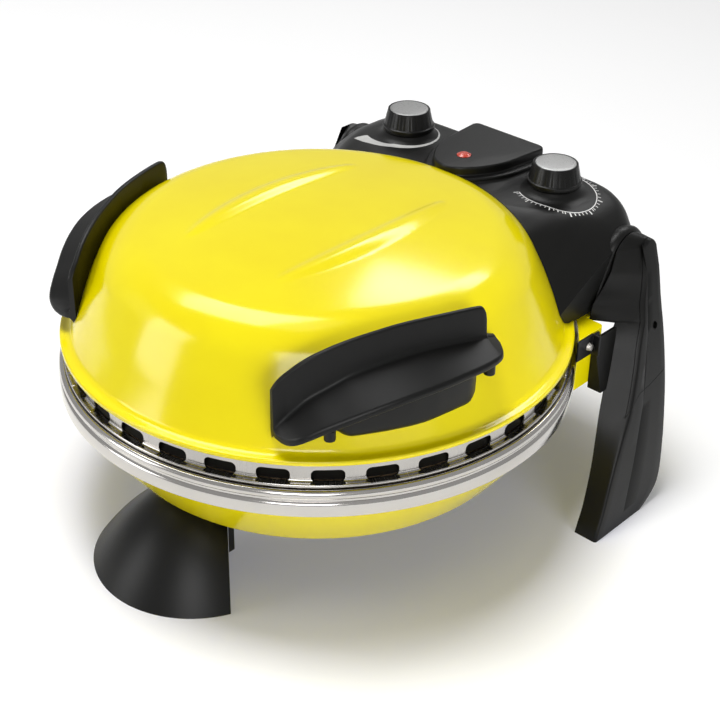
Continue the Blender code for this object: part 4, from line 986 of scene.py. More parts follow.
@dataclass
class PanShell:
    """Lower pan, its rolled steel band, the inner dish and the baking stone.

    Attributes:
        band_radius: Outer radius of the steel band.
        band_low: Height of the band's lower edge.
        band_high: Height of the band's neck under its bead.
        bead: Radius of the rolled bead.
        wall_radius: Pan's radius under the band.
        depth: Depth of the pan below the band.
        slope: How much the flank runs in per depth.
        stone_radius: Radius of the stone.
        stone_top: Height of its upper face.
        stone_thickness: Its thickness.
        steps: Steps of a full turn.
    """

    band_radius: float = 174.6 * MM
    band_low: float = 99 * MM
    band_high: float = 109 * MM
    bead: float = 3.1 * MM
    wall_radius: float = 173 * MM
    depth: float = 52.5 * MM
    slope: float = 0.74
    stone_radius: float = 155 * MM
    stone_top: float = 112.3 * MM
    stone_thickness: float = 12 * MM
    steps: int = 256

    def build_pan(self, shop: Workshop) -> None:
        """Spins the enamelled pan.

        Args:
            shop: Workshop.
        """
        bottom = self.band_low - self.depth
        foot = self.wall_radius - self.slope * self.depth
        points = [
            (self.wall_radius - 1.6 * MM, self.band_high - 1.5 * MM),
            (self.wall_radius, self.band_low),
            (foot, bottom),
            (0, bottom),
        ]
        profile = soften(points, [0, 4 * MM, 16 * MM, 0], 12)
        rings = [profile[-2].lerp(profile[-1], step / 12) for step in range(1, 12)]
        profile = profile[:-1] + rings + profile[-1:]
        shop.publish(
            turned(profile, self.steps), "enamelled_pan", Body.BASE, shop.palette.enamel, ["lower_pan"],
            SHEET, crease=50,
        )

    def form(self, gap: float = 0.3 * MM) -> Mesh:
        """Solid of the pan's outside, grown by a gap, that trims the foot under it.

        Args:
            gap: Clearance.

        Returns:
            Closed mesh in oven coordinates.
        """
        bottom = self.band_low - self.depth - gap
        foot = self.wall_radius - self.slope * self.depth
        points = [
            (0, PARTING_Z),
            (self.wall_radius + gap, PARTING_Z),
            (self.wall_radius + gap, self.band_low),
            (foot + gap, bottom),
            (0, bottom),
        ]
        return turned(soften(points, [0, 0, 4 * MM, 16 * MM, 0], 12), self.steps)

    def build_band(self, shop: Workshop) -> None:
        """Spins the flat band with the round bead on its edge.

        Args:
            shop: Workshop.
        """
        outer = self.band_radius
        inner = outer - 1 * MM
        bead_x = outer - 0.2 * MM - self.bead
        bead_z = PARTING_Z - 0.15 * MM - self.bead
        flat = [
            (outer - 2 * MM, self.band_high),
            (outer, self.band_high - 1.4 * MM),
            (outer, self.band_low),
            (inner, self.band_low),
            (inner - 1.4 * MM, self.band_high - 0.6 * MM),
        ]
        profile = soften(flat, [0, 1.2 * MM, 0.4 * MM, 0.3 * MM, 0], 4)
        low = math.atan2(self.band_high - bead_z, inner - 1.6 * MM - bead_x)
        high = math.atan2(self.band_high + 0.4 * MM - bead_z, outer - 1.8 * MM - bead_x)
        steps = 28
        for step in range(steps + 1):
            turn = low + (high - math.tau - low) * step / steps
            profile.append(Vector((bead_x + math.cos(turn) * self.bead, bead_z + math.sin(turn) * self.bead)))
        shop.publish(
            turned(profile, self.steps, closed=True), "rolled_rim_band", Body.BASE, shop.palette.band,
            ["rim_band"], crease=40,
        )

    def build_dish(self, shop: Workshop) -> None:
        """Spins the dish that carries the stone.

        Args:
            shop: Workshop.
        """
        rim = self.band_radius - 2 * self.bead - 1.5 * MM
        ledge_z = self.stone_top - self.stone_thickness - 0.3 * MM - 0.8 * MM
        ledge_out = self.stone_radius + 4.5 * MM
        ledge_in = ledge_out - 13 * MM
        points = [
            (rim - 0.8 * MM, PARTING_Z - 3.4 * MM),
            (ledge_out + 0.4 * MM, ledge_z + 0.8 * MM),
            (ledge_in, ledge_z + 0.8 * MM),
            (ledge_in - 8 * MM, ledge_z + 0.8 * MM - 32 * MM),
            (0, ledge_z + 0.8 * MM - 32 * MM),
        ]
        profile = soften(points, [0, 1.5 * MM, 2 * MM, 9 * MM, 0], 6)
        bm = turned(profile, 144)
        bmesh.ops.reverse_faces(bm, faces=bm.faces)
        shop.publish(
            bm, "lower_dish", Body.BASE, shop.palette.dish, ["lower_reflector"], 0.8 * MM, crease=50
        )

    def build_stone(self, shop: Workshop) -> None:
        """Spins the stone with its worn edges.

        Args:
            shop: Workshop.
        """
        bottom = self.stone_top - self.stone_thickness
        points = [
            (0, self.stone_top),
            (self.stone_radius, self.stone_top),
            (self.stone_radius, bottom),
            (0, bottom),
        ]
        profile = soften(points, [0, 2.5 * MM, 2.5 * MM, 0], 6)
        shop.publish(
            turned(profile, 192), "stone_disc", Body.BASE, shop.palette.stone, ["baking_stone"], crease=50
        )


@dataclass
class PhotoCamera:
    """Camera at the photograph's viewing angle.

    Attributes:
        azimuth: Turn to the right of the front, in degrees.
        elevation: Height above the horizon, in degrees.
        distance: Distance from the aimed point.
        aside: How far the aimed point lies to the camera's right.
        height: Height of the aimed point.
        roll: Roll in degrees.
        lens: Focal length in millimetres on a 36 mm sensor.
    """

    azimuth: float = 42.7788
    elevation: float = 31.7841
    distance: float = 1.0307
    aside: float = 28.7 * MM
    height: float = 100.5 * MM
    roll: float = 1.0962
    lens: float = 75.0

    def build(self, centre: Vector) -> None:
        """Makes the scene's camera.

        Args:
            centre: Foot of the pan's axis in the frame.
        """
        turn = math.radians(self.azimuth)
        lift = math.radians(self.elevation)
        back = Vector((math.sin(turn) * math.cos(lift), -math.cos(turn) * math.cos(lift), math.sin(lift)))
        aim = centre + Vector((self.aside * math.cos(turn), self.aside * math.sin(turn), self.height))
        right = (-back).cross(Vector((0, 0, 1))).normalized()
        up = right.cross(-back)
        axes = Matrix((right, up, back)).transposed() @ Matrix.Rotation(math.radians(self.roll), 3, "Z")
        data = bpy.data.cameras.new("photo_camera")
        data.sensor_width = 36
        data.lens = self.lens
        data.clip_start = 0.01
        data.clip_end = 50
        camera = bpy.data.objects.new("photo_camera", data)
        camera.matrix_world = Matrix.Translation(aim + back * self.distance) @ axes.to_4x4()
        bpy.context.scene.collection.objects.link(camera)
        bpy.context.scene.camera = camera


@dataclass(frozen=True)
class SoftBox:
    """Rectangular studio lamp.

    Attributes:
        name: Lamp's name.
        place: Its middle, from the middle of the object's floor.
        aim: Point that it faces.
        size: Width and height.
        power: Power in watts.
        mirrored: Whether glossy surfaces show the lamp itself.
        shining: Whether it lights matt surfaces.
    """

    name: str
    place: tuple[float, float, float]
    aim: tuple[float, float, float]
    size: tuple[float, float]
    power: float
    mirrored: bool = True
    shining: bool = True

    def build(self) -> None:
        """Adds the lamp to the scene."""
        data = bpy.data.lights.new(self.name, "AREA")
        data.shape = "RECTANGLE"
        data.size, data.size_y = self.size
        data.energy = self.power
        lamp = bpy.data.objects.new(self.name, data)
        lamp.visible_glossy = self.mirrored
        lamp.visible_diffuse = self.shining
        lamp.location = self.place
        lamp.rotation_euler = (Vector(self.aim) - Vector(self.place)).to_track_quat("-Z", "Y").to_euler()
        bpy.context.scene.collection.objects.link(lamp)


@dataclass
class Studio:
    """Pale floor with a painted shadow under the object, white surroundings and soft lamps.

    Attributes:
        floor_radius: Radius of the floor disc.
        floor_colour: Floor's own colour.
        painted_shadow_colour: Painted shadow: a darker, bluish floor colour under the object that deepens its shadow
            and cancels the warm light that it throws there.
        lift: Brightness that the floor adds for the camera and for reflections.
        ambient: Strength of the world's light on surfaces.
        shown: Strength of the world in reflections.
        lamps: Soft lamps.
    """

    floor_radius: float = 5.0
    floor_colour: str = "#FAFAFA"
    # Painted shadow under the object, bluish to cancel the pan's yellow bounce light
    painted_shadow_colour: str = "#B9BDE2"
    lift: float = 0.12
    ambient: float = 0.12
    shown: float = 0.45
    lamps: tuple[SoftBox, ...] = (
        SoftBox("key_softbox", (-0.45, -0.10, 2.90), (0, 0, 0.1), (1.1, 1.1), 67, False),
        SoftBox("left_softbox", (-1.35, -1.05, 0.80), (0, 0, 0.12), (0.9, 0.6), 9, False),
        SoftBox("right_softbox", (1.85, -0.50, 0.50), (0, 0, 0.12), (1.2, 0.6), 18, False),
        SoftBox("rear_window", (-0.42, 1.25, 1.42), (0, 0, 0.15), (1.00, 0.30), 7, True, False),
        SoftBox("front_window", (-0.85, -1.35, 0.62), (0, 0, 0.15), (0.62, 0.75), 6, True, False),
        SoftBox("shoulder_window", (-0.72, -0.05, 1.78), (0, 0, 0.15), (0.9, 0.9), 16, True, False),
        SoftBox("side_window", (1.05, -1.35, 1.15), (0, 0, 0.12), (0.8, 0.8), 12, True, False),
    )

    def seen(self, tree: Tree) -> Socket:
        """Value of 1 for camera, glossy and transmission rays.

        Args:
            tree: Node tree.

        Returns:
            Value output.
        """
        path = add_node(tree, "ShaderNodeLightPath").outputs
        first = calc(tree, "MAXIMUM", path["Is Camera Ray"], path["Is Glossy Ray"])
        return calc(tree, "MAXIMUM", first, path["Is Transmission Ray"])

    def build_floor(self) -> None:
        """Adds the floor, which keeps the object's shadow and has a painted shadow under it."""
        bm = bmesh.new()
        bmesh.ops.create_circle(bm, cap_ends=True, segments=64, radius=self.floor_radius)
        mesh = bpy.data.meshes.new("studio_floor")
        bm.to_mesh(mesh)
        bm.free()
        floor = bpy.data.objects.new("studio_floor", mesh)
        bpy.context.scene.collection.objects.link(floor)
        material = bpy.data.materials.new("studio_paper")
        material.use_nodes = True
        tree = material.node_tree
        tree.nodes.clear()
        place = add_node(tree, "ShaderNodeTexCoord").outputs["Object"]
        fibre = add_node(tree, "ShaderNodeTexNoise", {"Vector": place, "Scale": 900.0}).outputs["Fac"]
        relief = add_node(
            tree, "ShaderNodeBump", {"Height": fibre, "Distance": 0.01 * MM, "Strength": 0.2}
        ).outputs["Normal"]
        # Painted shadow: the floor turns darker and bluer near the middle of its disc, deepening the object's shadow
        # and cancelling its yellow bounce light
        reach = add_node(tree, "ShaderNodeVectorMath", {0: place}, operation="LENGTH").outputs["Value"]
        share = add_node(
            tree, "ShaderNodeMapRange", {"Value": reach, "From Min": 0.12, "From Max": 0.25},
            interpolation_type="SMOOTHSTEP",
        ).outputs["Result"]
        painted_shadow = add_node(
            tree, "ShaderNodeMix", {"Factor": share, 6: linear(self.painted_shadow_colour), 7: linear(self.floor_colour)},
            data_type="RGBA",
        ).outputs[2]
        paper = add_node(tree, "ShaderNodeBsdfDiffuse", {"Color": painted_shadow, "Normal": relief}).outputs[0]
        strength = calc(tree, "MULTIPLY", self.seen(tree), self.lift)
        glow = add_node(tree, "ShaderNodeEmission", {"Color": (1, 1, 1, 1), "Strength": strength}).outputs[0]
        both = add_node(tree, "ShaderNodeAddShader", {0: paper, 1: glow}).outputs[0]
        add_node(tree, "ShaderNodeOutputMaterial", {"Surface": both})
        mesh.materials.append(material)

    def build_world(self) -> None:
        """Adds the white surroundings, which light surfaces less than they show."""
        world = bpy.data.worlds.new("studio_world")
        world.use_nodes = True
        bpy.context.scene.world = world
        tree = world.node_tree
        tree.nodes.clear()
        path = add_node(tree, "ShaderNodeLightPath").outputs
        direct = calc(tree, "MAXIMUM", path["Is Camera Ray"], path["Is Transmission Ray"])
        shown = calc(tree, "MULTIPLY", path["Is Glossy Ray"], self.shown)
        strength = calc(tree, "MAXIMUM", calc(tree, "MAXIMUM", direct, shown), self.ambient)
        sky = add_node(tree, "ShaderNodeBackground", {"Color": (1, 1, 1, 1), "Strength": strength}).outputs[0]
        add_node(tree, "ShaderNodeOutputWorld", {"Surface": sky})

    def build(self) -> None:
        """Adds floor, world and lamps."""
        self.build_floor()
        self.build_world()
        for lamp in self.lamps:
            lamp.build()
        bpy.context.scene.view_settings.view_transform = "Standard"


@dataclass
class Knob:
    """Tapered fluted knob with a silver cap.

    Attributes:
        label: Name of the control.
        side: Side of the panel.
        body: Body that it turns with.
        height: Knob's height.
        base_radius: Radius of its skirt.
        top_radius: Radius at its top.
        flutes: Number of flutes.
        flute_depth: Depth of a flute.
        cap_radius: Radius of the silver cap.
        base_z: Height of its foot.
    """

    label: str
    side: Side
    body: Body
    height: float = 15 * MM
    base_radius: float = 19.2 * MM
    top_radius: float = 15.5 * MM
    flutes: int = 24
    flute_depth: float = 0.3 * MM
    cap_radius: float = 14.2 * MM
    base_z: float = 202.7 * MM

    def middle(self) -> Vector:
        """Foot of the knob's axis in oven coordinates."""
        return Vector((self.side.value * KNOB_X, KNOB_Y, self.base_z))

    def build_knob(self, shop: Workshop) -> None:
        """Spins the knob and cuts its flutes.

        Args:
            shop: Workshop.
        """
        seat = self.height - 1.3 * MM
        bore = 3.3 * MM
        deep = self.height * 0.55 + 0.3 * MM
        points = [
            (0, seat),
            (self.cap_radius + 0.3 * MM, seat),
            (self.cap_radius + 0.3 * MM, self.height),
            (self.top_radius, self.height),
            (self.base_radius - 1.0 * MM, 3.6 * MM),
            (self.base_radius, 3.2 * MM),
            (self.base_radius, 0),
            (bore, 0),
            (bore, deep),
            (0, deep),
        ]
        radii = [0, 0.1 * MM, 0.2 * MM, 1.0 * MM, 0.3 * MM, 0.4 * MM, 0.5 * MM, 0.2 * MM, 0, 0]
        profile = soften(points, radii, 4)
        bm = turned(profile, 240)
        for vert in bm.verts:
            radius = math.hypot(vert.co.x, vert.co.y)
            if vert.co.z < 3.8 * MM or vert.co.z > self.height - 0.8 * MM or radius < self.cap_radius + 1 * MM:
                continue
            turn = math.atan2(vert.co.y, vert.co.x)
            share = (0.5 + 0.5 * math.cos(turn * self.flutes)) ** 3
            inward = 1 - self.flute_depth * share / radius
            vert.co.x *= inward
            vert.co.y *= inward
        bmesh.ops.translate(bm, verts=bm.verts, vec=self.middle())
        shop.publish(
            bm, f"{self.label}_fluted_knob", self.body, shop.palette.knob_plastic,
            [f"{self.label}_knob"], crease=40,
        )

    def build_cap(self, shop: Workshop) -> None:
        """Spins the slightly domed cap.

        Args:
            shop: Workshop.
        """
        low = self.height - 1.0 * MM
        points = [
            (0, self.height + 0.18 * MM),
            (self.cap_radius * 0.6, self.height + 0.14 * MM),
            (self.cap_radius, self.height),
            (self.cap_radius, low),
            (0, low),
        ]
        bm = turned(soften(points, [0, 4 * MM, 0.35 * MM, 0.1 * MM, 0], 5), 128)
        bmesh.ops.translate(bm, verts=bm.verts, vec=self.middle())
        material = Palette.cap(shop.centre + self.middle())
        shop.publish(
            bm, f"{self.label}_spun_cap", self.body, material, [f"{self.label}_knob_cap"], crease=45
        )


@dataclass
class ArmArch:
    """Outline of the hinge joint: a round top over the pin, a sloping front and an upright rear.

    Attributes:
        y: Hinge axis behind the pan's axis.
        z: Height of the hinge axis.
        slope: Slope of the front in degrees.
        radius: Radius of the round top.
        bore: Radius of the pin's bore.
    """

    y: float = 171 * MM
    z: float = 164 * MM
    slope: float = 63.0
    radius: float = 19 * MM
    bore: float = 5.3 * MM

    def shaft(self, start_x: float, end_x: float, radius: float) -> Mesh:
        """Bar along the hinge axis.

        Args:
            start_x: First end.
            end_x: Second end.
            radius: Radius.

        Returns:
            Closed mesh.
        """
        return rod(Vector((start_x, self.y, self.z)), Vector((end_x, self.y, self.z)), radius)

    def outline(self, radius: float, bottom: float, steps: int = 28) -> list[Vector]:
        """Outline in the plane across the hinge.

        Args:
            radius: Radius of the round top.
            bottom: Height of the lower end.
            steps: Steps of the round top.

        Returns:
            Points as (y, z).
        """
        sweep = math.pi / 2 + math.radians(self.slope)
        points = []
        for step in range(steps + 1):
            turn = sweep * step / steps
            points.append(Vector((self.y + math.cos(turn) * radius, self.z + math.sin(turn) * radius)))
        tangent = points[-1]
        down = (tangent.y - bottom) / math.tan(math.radians(self.slope))
        points.append(Vector((tangent.x - down, bottom)))
        points.append(Vector((self.y + radius, bottom)))
        return points


@dataclass
class ControlHousing:
    """Moulded control housing behind the lid: shell, collars, raised pad and knob pedestals.

    Attributes:
        half: Half its width.
        wall: Wall thickness.
        rear_y: Rear face behind the pan's axis.
        front_y: Front under the lid's edge.
        bottom: Height of its lower edge.
        panel: Height of its panel.
        pad_half: Half the pad's width.
        pad_front: Pad's front.
        pad_rear: Pad's rear.
        pad_height: Pad's height above the panel.
        ledge: Width and height of the ledge round the pad.
        lens_y: Place of the lamp on the pad.
        stations: Distance from the middle, panel drop, rear inset, y where the front slope meets the
            panel, height of the slope's foot and rear corner radius, all in millimetres.
    """

    half: float = 128.2 * MM
    wall: float = 2.6 * MM
    rear_y: float = 205 * MM
    front_y: float = 90 * MM
    bottom: float = 136 * MM
    panel: float = 197 * MM
    pad_half: float = 33 * MM
    pad_front: float = 124 * MM
    pad_rear: float = 199 * MM
    pad_height: float = 10 * MM
    ledge: tuple[float, float] = (7 * MM, 3.5 * MM)
    lens_y: float = 147 * MM
    stations: tuple[tuple[float, ...], ...] = (
        (0, 0.0, 0.0, 104, 188, 14),
        (62, 0.0, 0.0, 112, 183, 14),
        (85, 0.3, 0.6, 122, 179, 15),
        (98, 1.2, 3.5, 133, 169, 17),
        (108, 4.5, 7.0, 143, 160, 18),
        (116, 9.5, 11.5, 147, 154, 19),
        (123, 16.0, 15.0, 150, 148, 19),
        (128.2, 21.0, 18.0, 152, 143, 17),
    )

    def section(self, row: Sequence[float], inset: float, lowest: float) -> list[Vector]:
        """Outline across the housing at one station.

        Args:
            row: Station in millimetres.
            inset: Distance that the outline is moved inwards.
            lowest: Height of its lower edge.

        Returns:
            Points as (y, z).
        """
        _, drop, rear_inset, shoulder_y, foot_z, corner = row
        top = self.panel - drop * MM - inset
        rear = self.rear_y - rear_inset * MM - inset
        shoulder = Vector((shoulder_y * MM, self.panel - drop * MM))
        slope = (shoulder - Vector((self.front_y, foot_z * MM))).normalized()
        meet = shoulder + Vector((slope.y, -slope.x)) * inset
        meet = meet + slope * ((top - meet.y) / slope.y)
        front = self.front_y + inset
        front_z = meet.y - (meet.x - front) * slope.y / slope.x
        points = [
            (front, lowest),
            (front, front_z),
            meet,
            (rear, top),
            (rear - 2 * MM, lowest),
        ]
        return soften(points, [0, 0, 17 * MM, max(corner * MM - inset, MM), 0], 10, closed=True)

    def block(self, inset: float, lowest: float) -> Mesh:
        """Housing's form from side to side.

        Args:
            inset: Distance that it is moved inwards.
            lowest: Height of its lower edge.

        Returns:
            Closed mesh.
        """
        mirrored = [(-row[0], *row[1:]) for row in reversed(self.stations[1:])]
        rings = []
        for row in glide(mirrored + list(self.stations), 6):
            x = row[0] * MM * (self.half - inset) / self.half
            rings.append([Vector((x, point.x, point.y)) for point in self.section(row, inset, lowest)])
        return lofted(rings)

    def collar(self, side: Side) -> Mesh:
        """Raised collar round the hinge at one end.

        Args:
            side: Side of the oven.

        Returns:
            Closed mesh.
        """
        outer = self.half + 0.8 * MM
        levels = (
            (-13.0, -1.5),
            (-9.0, 1.4),
            (-6.5, 2.3),
            (-4.5, 2.6),
            (-3.0, 2.4),
            (-1.6, 1.8),
            (-0.6, 1.1),
            (0.0, 0.5),
        )
        arch = ArmArch()
        rings = []
        for back, grow in levels:
            x = side.value * (outer + back * MM)
            line = arch.outline(arch.radius + grow * MM, self.bottom)
            rings.append([Vector((x, point.x, point.y)) for point in line])
        return lofted(rings)

    def pad_outline(self, grow: float) -> list[Vector]:
        """Plan of the pad: straight rear and round front.

        Args:
            grow: Distance that it is moved outwards.

        Returns:
            Points as (x, y).
        """
        half = self.pad_half + grow
        front = self.pad_front - grow
        shoulder = self.pad_front + 0.75 * self.pad_half
        corners = (
            (half, self.pad_rear),
            (half * 0.86, shoulder),
            (half * 0.30, front),
            (-half * 0.30, front),
            (-half * 0.86, shoulder),
            (-half, self.pad_rear),
        )
        reach = [4 * MM, 16 * MM, 12 * MM, 12 * MM, 16 * MM, 4 * MM]
        return soften(corners, reach, 8, closed=True)

    def pad(self, grow: float, floor: float, height: float, edge: float, flare: float) -> Mesh:
        """Raised block with a rounded upper edge and a hollow fillet at its foot.

        Args:
            grow: Distance that its plan is moved outwards.
            floor: Height that it stands on.
            height: Its height.
            edge: Radius of its upper edge.
            flare: Radius of the fillet at its foot.

        Returns:
            Closed mesh.
        """
        levels = [(floor - self.wall / 2, flare)]
        for step in range(6):
            turn = math.pi / 2 * step / 5
            levels.append((floor + flare * (1 - math.cos(turn)), flare * (1 - math.sin(turn))))
        for step in range(6):
            turn = math.pi / 2 * step / 5
            levels.append((floor + height - edge * (1 - math.sin(turn)), -edge * (1 - math.cos(turn))))
        rings = []
        for z, out in levels:
            rings.append([Vector((point.x, point.y, z)) for point in self.pad_outline(grow + out)])
        return lofted(rings)

    def pedestal(self, side: Side) -> Mesh:
        """Low cone under a knob that flows into the panel.

        Args:
            side: Side of the oven.

        Returns:
            Closed mesh.
        """
        low = self.panel - self.wall / 2
        points = [
            (0, self.panel + 5.4 * MM),
            (17.6 * MM, self.panel + 5.4 * MM),
            (20.6 * MM, self.panel + 1.2 * MM),
            (26 * MM, self.panel - 0.7 * MM),
            (26 * MM, low),
            (0, low),
        ]
        bm = turned(soften(points, [0, 1.2 * MM, 4 * MM, 0, 0, 0], 6), 128)
        bmesh.ops.translate(bm, verts=bm.verts, vec=(side.value * KNOB_X, KNOB_Y, 0))
        return bm

    def build(self, shop: Workshop, lid: LidShell) -> None:
        """Joins the forms, hollows them and trims them to the dome.

        Args:
            shop: Workshop.
            lid: Lid that the housing sits on.
        """
        bm = self.block(0.0, self.bottom)
        for side in Side:
            bm = carve(bm, self.collar(side), "UNION")
        bm = carve(bm, self.block(self.wall, self.bottom - 6 * MM), "DIFFERENCE")
        bm = carve(bm, self.pad(self.ledge[0], self.panel, self.ledge[1], 1.6 * MM, 1.6 * MM), "UNION")
        upper = self.panel + self.ledge[1]
        bm = carve(bm, self.pad(0.0, upper, self.pad_height - self.ledge[1], 1.8 * MM, 1.2 * MM), "UNION")
        hinge = ArmArch()
        for side in Side:
            bm = carve(bm, self.pedestal(side), "UNION")
            boss = hinge.shaft(side.value * (self.half - 14 * MM), side.value * (self.half - 1 * MM), 9 * MM)
            bm = carve(bm, boss, "UNION")
        bm = carve(bm, lid.form(), "DIFFERENCE")
        for side in Side:
            bore = hinge.shaft(side.value * (self.half - 18 * MM), side.value * (self.half + 4 * MM), hinge.bore)
            bm = carve(bm, bore, "DIFFERENCE")
            low = Vector((side.value * KNOB_X, KNOB_Y, self.panel - 12 * MM))
            bm = carve(bm, rod(low, low + Vector((0, 0, 24 * MM)), 3.3 * MM), "DIFFERENCE")
        seat = Vector((0, self.lens_y, self.panel + self.pad_height - 1.5 * MM))
        bm = carve(bm, rod(seat, seat + Vector((0, 0, 4 * MM)), 5.5 * MM), "DIFFERENCE")
        gland = Vector((-0.655 * self.half, self.rear_y - 14 * MM, self.bottom + 18 * MM))
        bm = carve(bm, rod(gland, gland + Vector((0, 28 * MM, 0)), 6.3 * MM), "DIFFERENCE")
        shop.publish(
            bm, "moulded_control_housing", Body.LID, shop.palette.plastic, ["control_housing"],
            bevel=0.5 * MM, crease=32,
        )


@dataclass
class Handle:
    """Handle of one side: a shield with a wing that stands out of it, and the bracket below.

    Attributes:
        side: Side of the oven.
        front: Front end of its chord on the lid.
        rear: Rear end of its chord.
        bow: How far its middle bows outwards.
        bow_share: Share of the chord where it bows most.
        shield: Thickness of the shield.
        lip: Height of the wing's turned-down edge.
        wall: Thickness of the wing.
        stations: Share of the chord, crease height, shield top height, wing width and height of the
            wing's outer edge, in millimetres.
    """

    side: Side
    front: tuple[float, float] = (94.5 * MM, -133.0 * MM)
    rear: tuple[float, float] = (147.0 * MM, -7.0 * MM)
    bow: float = 4.5 * MM
    bow_share: float = 0.56
    shield: float = 3.5 * MM
    lip: float = 4.4 * MM
    wall: float = 3.2 * MM
    stations: tuple[tuple[float, ...], ...] = (
        (0.000, 152.5, 178.5, 4.6, 152.0),
        (0.015, 154.5, 181.5, 10.5, 151.8),
        (0.036, 157, 184.5, 16.5, 153.4),
        (0.072, 161, 188, 21.5, 157.0),
        (0.150, 169, 194, 24.0, 161.5),
        (0.240, 174, 198, 26.0, 165.5),
        (0.340, 179, 201, 28.5, 170.0),
        (0.450, 182, 203, 30.3, 174.0),
        (0.560, 184, 204.5, 31.0, 177.0),
        (0.680, 185.5, 205, 30.4, 179.0),
        (0.800, 185.5, 205, 28.2, 180.5),
        (0.900, 185, 205, 25.5, 181.0),
        (0.965, 184.5, 204.6, 22.8, 181.5),
        (0.988, 184.2, 202.6, 21.4, 181.6),
        (1.000, 184, 197, 20.4, 181.6),
        (1.003, 183.8, 185.4, 20.2, 181.6),
        (1.020, 183.2, 184.2, 18.0, 181.6),
        (1.036, 182.8, 183.6, 14.2, 181.6),
        (1.050, 182.6, 183.2, 8.4, 181.6),
    )

    def place(self, share: float, out: float, z: float) -> Vector:
        """Point beside the chord, in oven coordinates."""
        start = Vector(self.front)
        chord = Vector(self.rear) - start
        normal = Vector((chord.y, -chord.x)).normalized()
        bow = self.bow * max(0.0, 1 - ((share - self.bow_share) / 0.5) ** 2)
        plan = start + chord * share + normal * (out + bow)
        return Vector((self.side.value * plan.x, plan.y, z + 0.55 * bow))

    def section(self, row: Sequence[float]) -> list[Vector]:
        """Cross-section of shield and wing with soft edges.

        Args:
            row: Station.

        Returns:
            Points as (outward, z).
        """
        crease, top, width, edge = (value * MM for value in row[1:])
        lip = min(self.lip, self.wall + 0.05 * width)
        points = (
            (-self.shield, crease - 9 * MM),
            (-self.shield, top),
            (0, top),
            (min(1.2 * MM, width * 0.2), crease),
            (width, edge),
            (width, edge - lip),
            (width - 3.0 * MM, edge - lip + 0.1 * MM),
            (width - 3.6 * MM, edge - self.wall),
            (0, crease - self.wall - 2 * MM),
        )
        reach = [0, 1.3 * MM, 1.3 * MM, 2.2 * MM, 2.4 * MM, 1.2 * MM, 0.9 * MM, 0.8 * MM, 1.5 * MM]
        return soften(points, reach, 4, closed=True)

    def build_grip(self, shop: Workshop, lid: LidShell) -> None:
        """Lofts shield and wing and trims them to the dome.

        Args:
            shop: Workshop.
            lid: Lid that carries the handle.
        """
        rings = []
        for row in glide(self.stations, 5):
            rings.append([self.place(row[0], point.x, point.y) for point in self.section(row)])
        bm = carve(lofted(rings), lid.form(), "DIFFERENCE")
        node = f"{self.side.label}_handle_grip"
        shop.publish(
            bm, f"{self.side.label}_winged_grip", Body.LID, shop.palette.plastic, [node],
            bevel=0.6 * MM, crease=38,
        )

    def at(self, share: float) -> tuple[float, ...]:
        """Station between the given ones, in millimetres."""
        for first, second in zip(self.stations, self.stations[1:]):
            if first[0] <= share <= second[0]:
                mix = (share - first[0]) / (second[0] - first[0])
                return tuple(a + (b - a) * mix for a, b in zip(first, second))
        return self.stations[-1]

    def build_bracket(self, shop: Workshop, lid: LidShell) -> None:
        """Lofts the keel under the wing and trims it to the dome.

        Args:
            shop: Workshop.
            lid: Lid that carries the handle.
        """
        rings = []
        steps = 40
        for step in range(steps + 1):
            share = 0.25 + 0.65 * step / steps
            _, crease, _, width, edge = (value * MM for value in self.at(share))
            ends = max(0.0, 1 - 12 * min(step, steps - step) / steps)
            inset = 3 * MM * ends**2
            low = max(edge - 31 * MM, lid.flange_z + 13 * MM) + inset
            out = width - 7.5 * MM - inset
            root = crease - self.wall - 3.4 * MM
            slant = (edge - self.wall - 1.4 * MM - root) / (width - 3.6 * MM)
            points = ((-2 * MM, root), (out, root + slant * out), (out - 1 * MM, low), (-2 * MM, low))
            line = soften(points, [0, 1 * MM, 5 * MM, 0], 6, closed=True)
            rings.append([self.place(share, point.x, point.y) for point in line])
        bm = carve(lofted(rings), lid.form(), "DIFFERENCE")
        node = f"{self.side.label}_handle_bracket"
        shop.publish(
            bm, f"{self.side.label}_grip_keel", Body.LID, shop.palette.plastic, [node], bevel=0.6 * MM,
            crease=38,
        )


@dataclass
class FrontFoot:
    """Moulded foot: a hollow dome with its rear cut off along two upright planes.

    Attributes:
        radius: Radius on the floor.
        height: Height of the full dome.
        y: Its axis from the pan's axis.
        wall: Wall thickness.
        cut_y: Edge where the two rear planes meet.
        cut_slope: How fast the planes fall back to the front.
    """

    radius: float = 70 * MM
    height: float = 52 * MM
    y: float = -114.5 * MM
    wall: float = 4 * MM
    cut_y: float = -88.0 * MM
    cut_slope: float = 0.868

    def side(self, offset: float) -> list[Vector]:
        """Side of the dome from its top to the floor.

        Args:
            offset: Distance that it is moved inwards.

        Returns:
            Points as (radius, z).
        """
        steps = 28
        radius = self.radius - offset
        height = self.height - offset
        points = []
        for step in range(steps + 1):
            share = step / steps
            points.append(Vector((radius * share, height * (1 - share * share))))
        return points

    def build(self, shop: Workshop, pan: PanShell) -> None:
        """Spins the dome, hollows it and cuts its rear and top.

        Args:
            shop: Workshop.
            pan: Pan that rests on the foot.
        """
        bm = turned(self.side(0.0) + list(reversed(self.side(self.wall))), 160)
        bmesh.ops.translate(bm, verts=bm.verts, vec=(0, self.y, 0))
        reach = 2 * self.radius
        side_y = self.cut_y - self.cut_slope * reach
        rear_y = self.y + reach
        plan = ((0, self.cut_y), (reach, side_y), (reach, rear_y), (-reach, rear_y), (-reach, side_y))
        levels = (-self.height, 2 * self.height)
        cutter = lofted([[Vector((x, y, z)) for x, y in plan] for z in levels])
        bm = carve(bm, cutter, "DIFFERENCE")
        bm = carve(bm, pan.form(), "DIFFERENCE")
        shop.publish(
            bm, "domed_front_foot", Body.BASE, shop.palette.plastic, ["front_foot"], bevel=0.6 * MM
        )


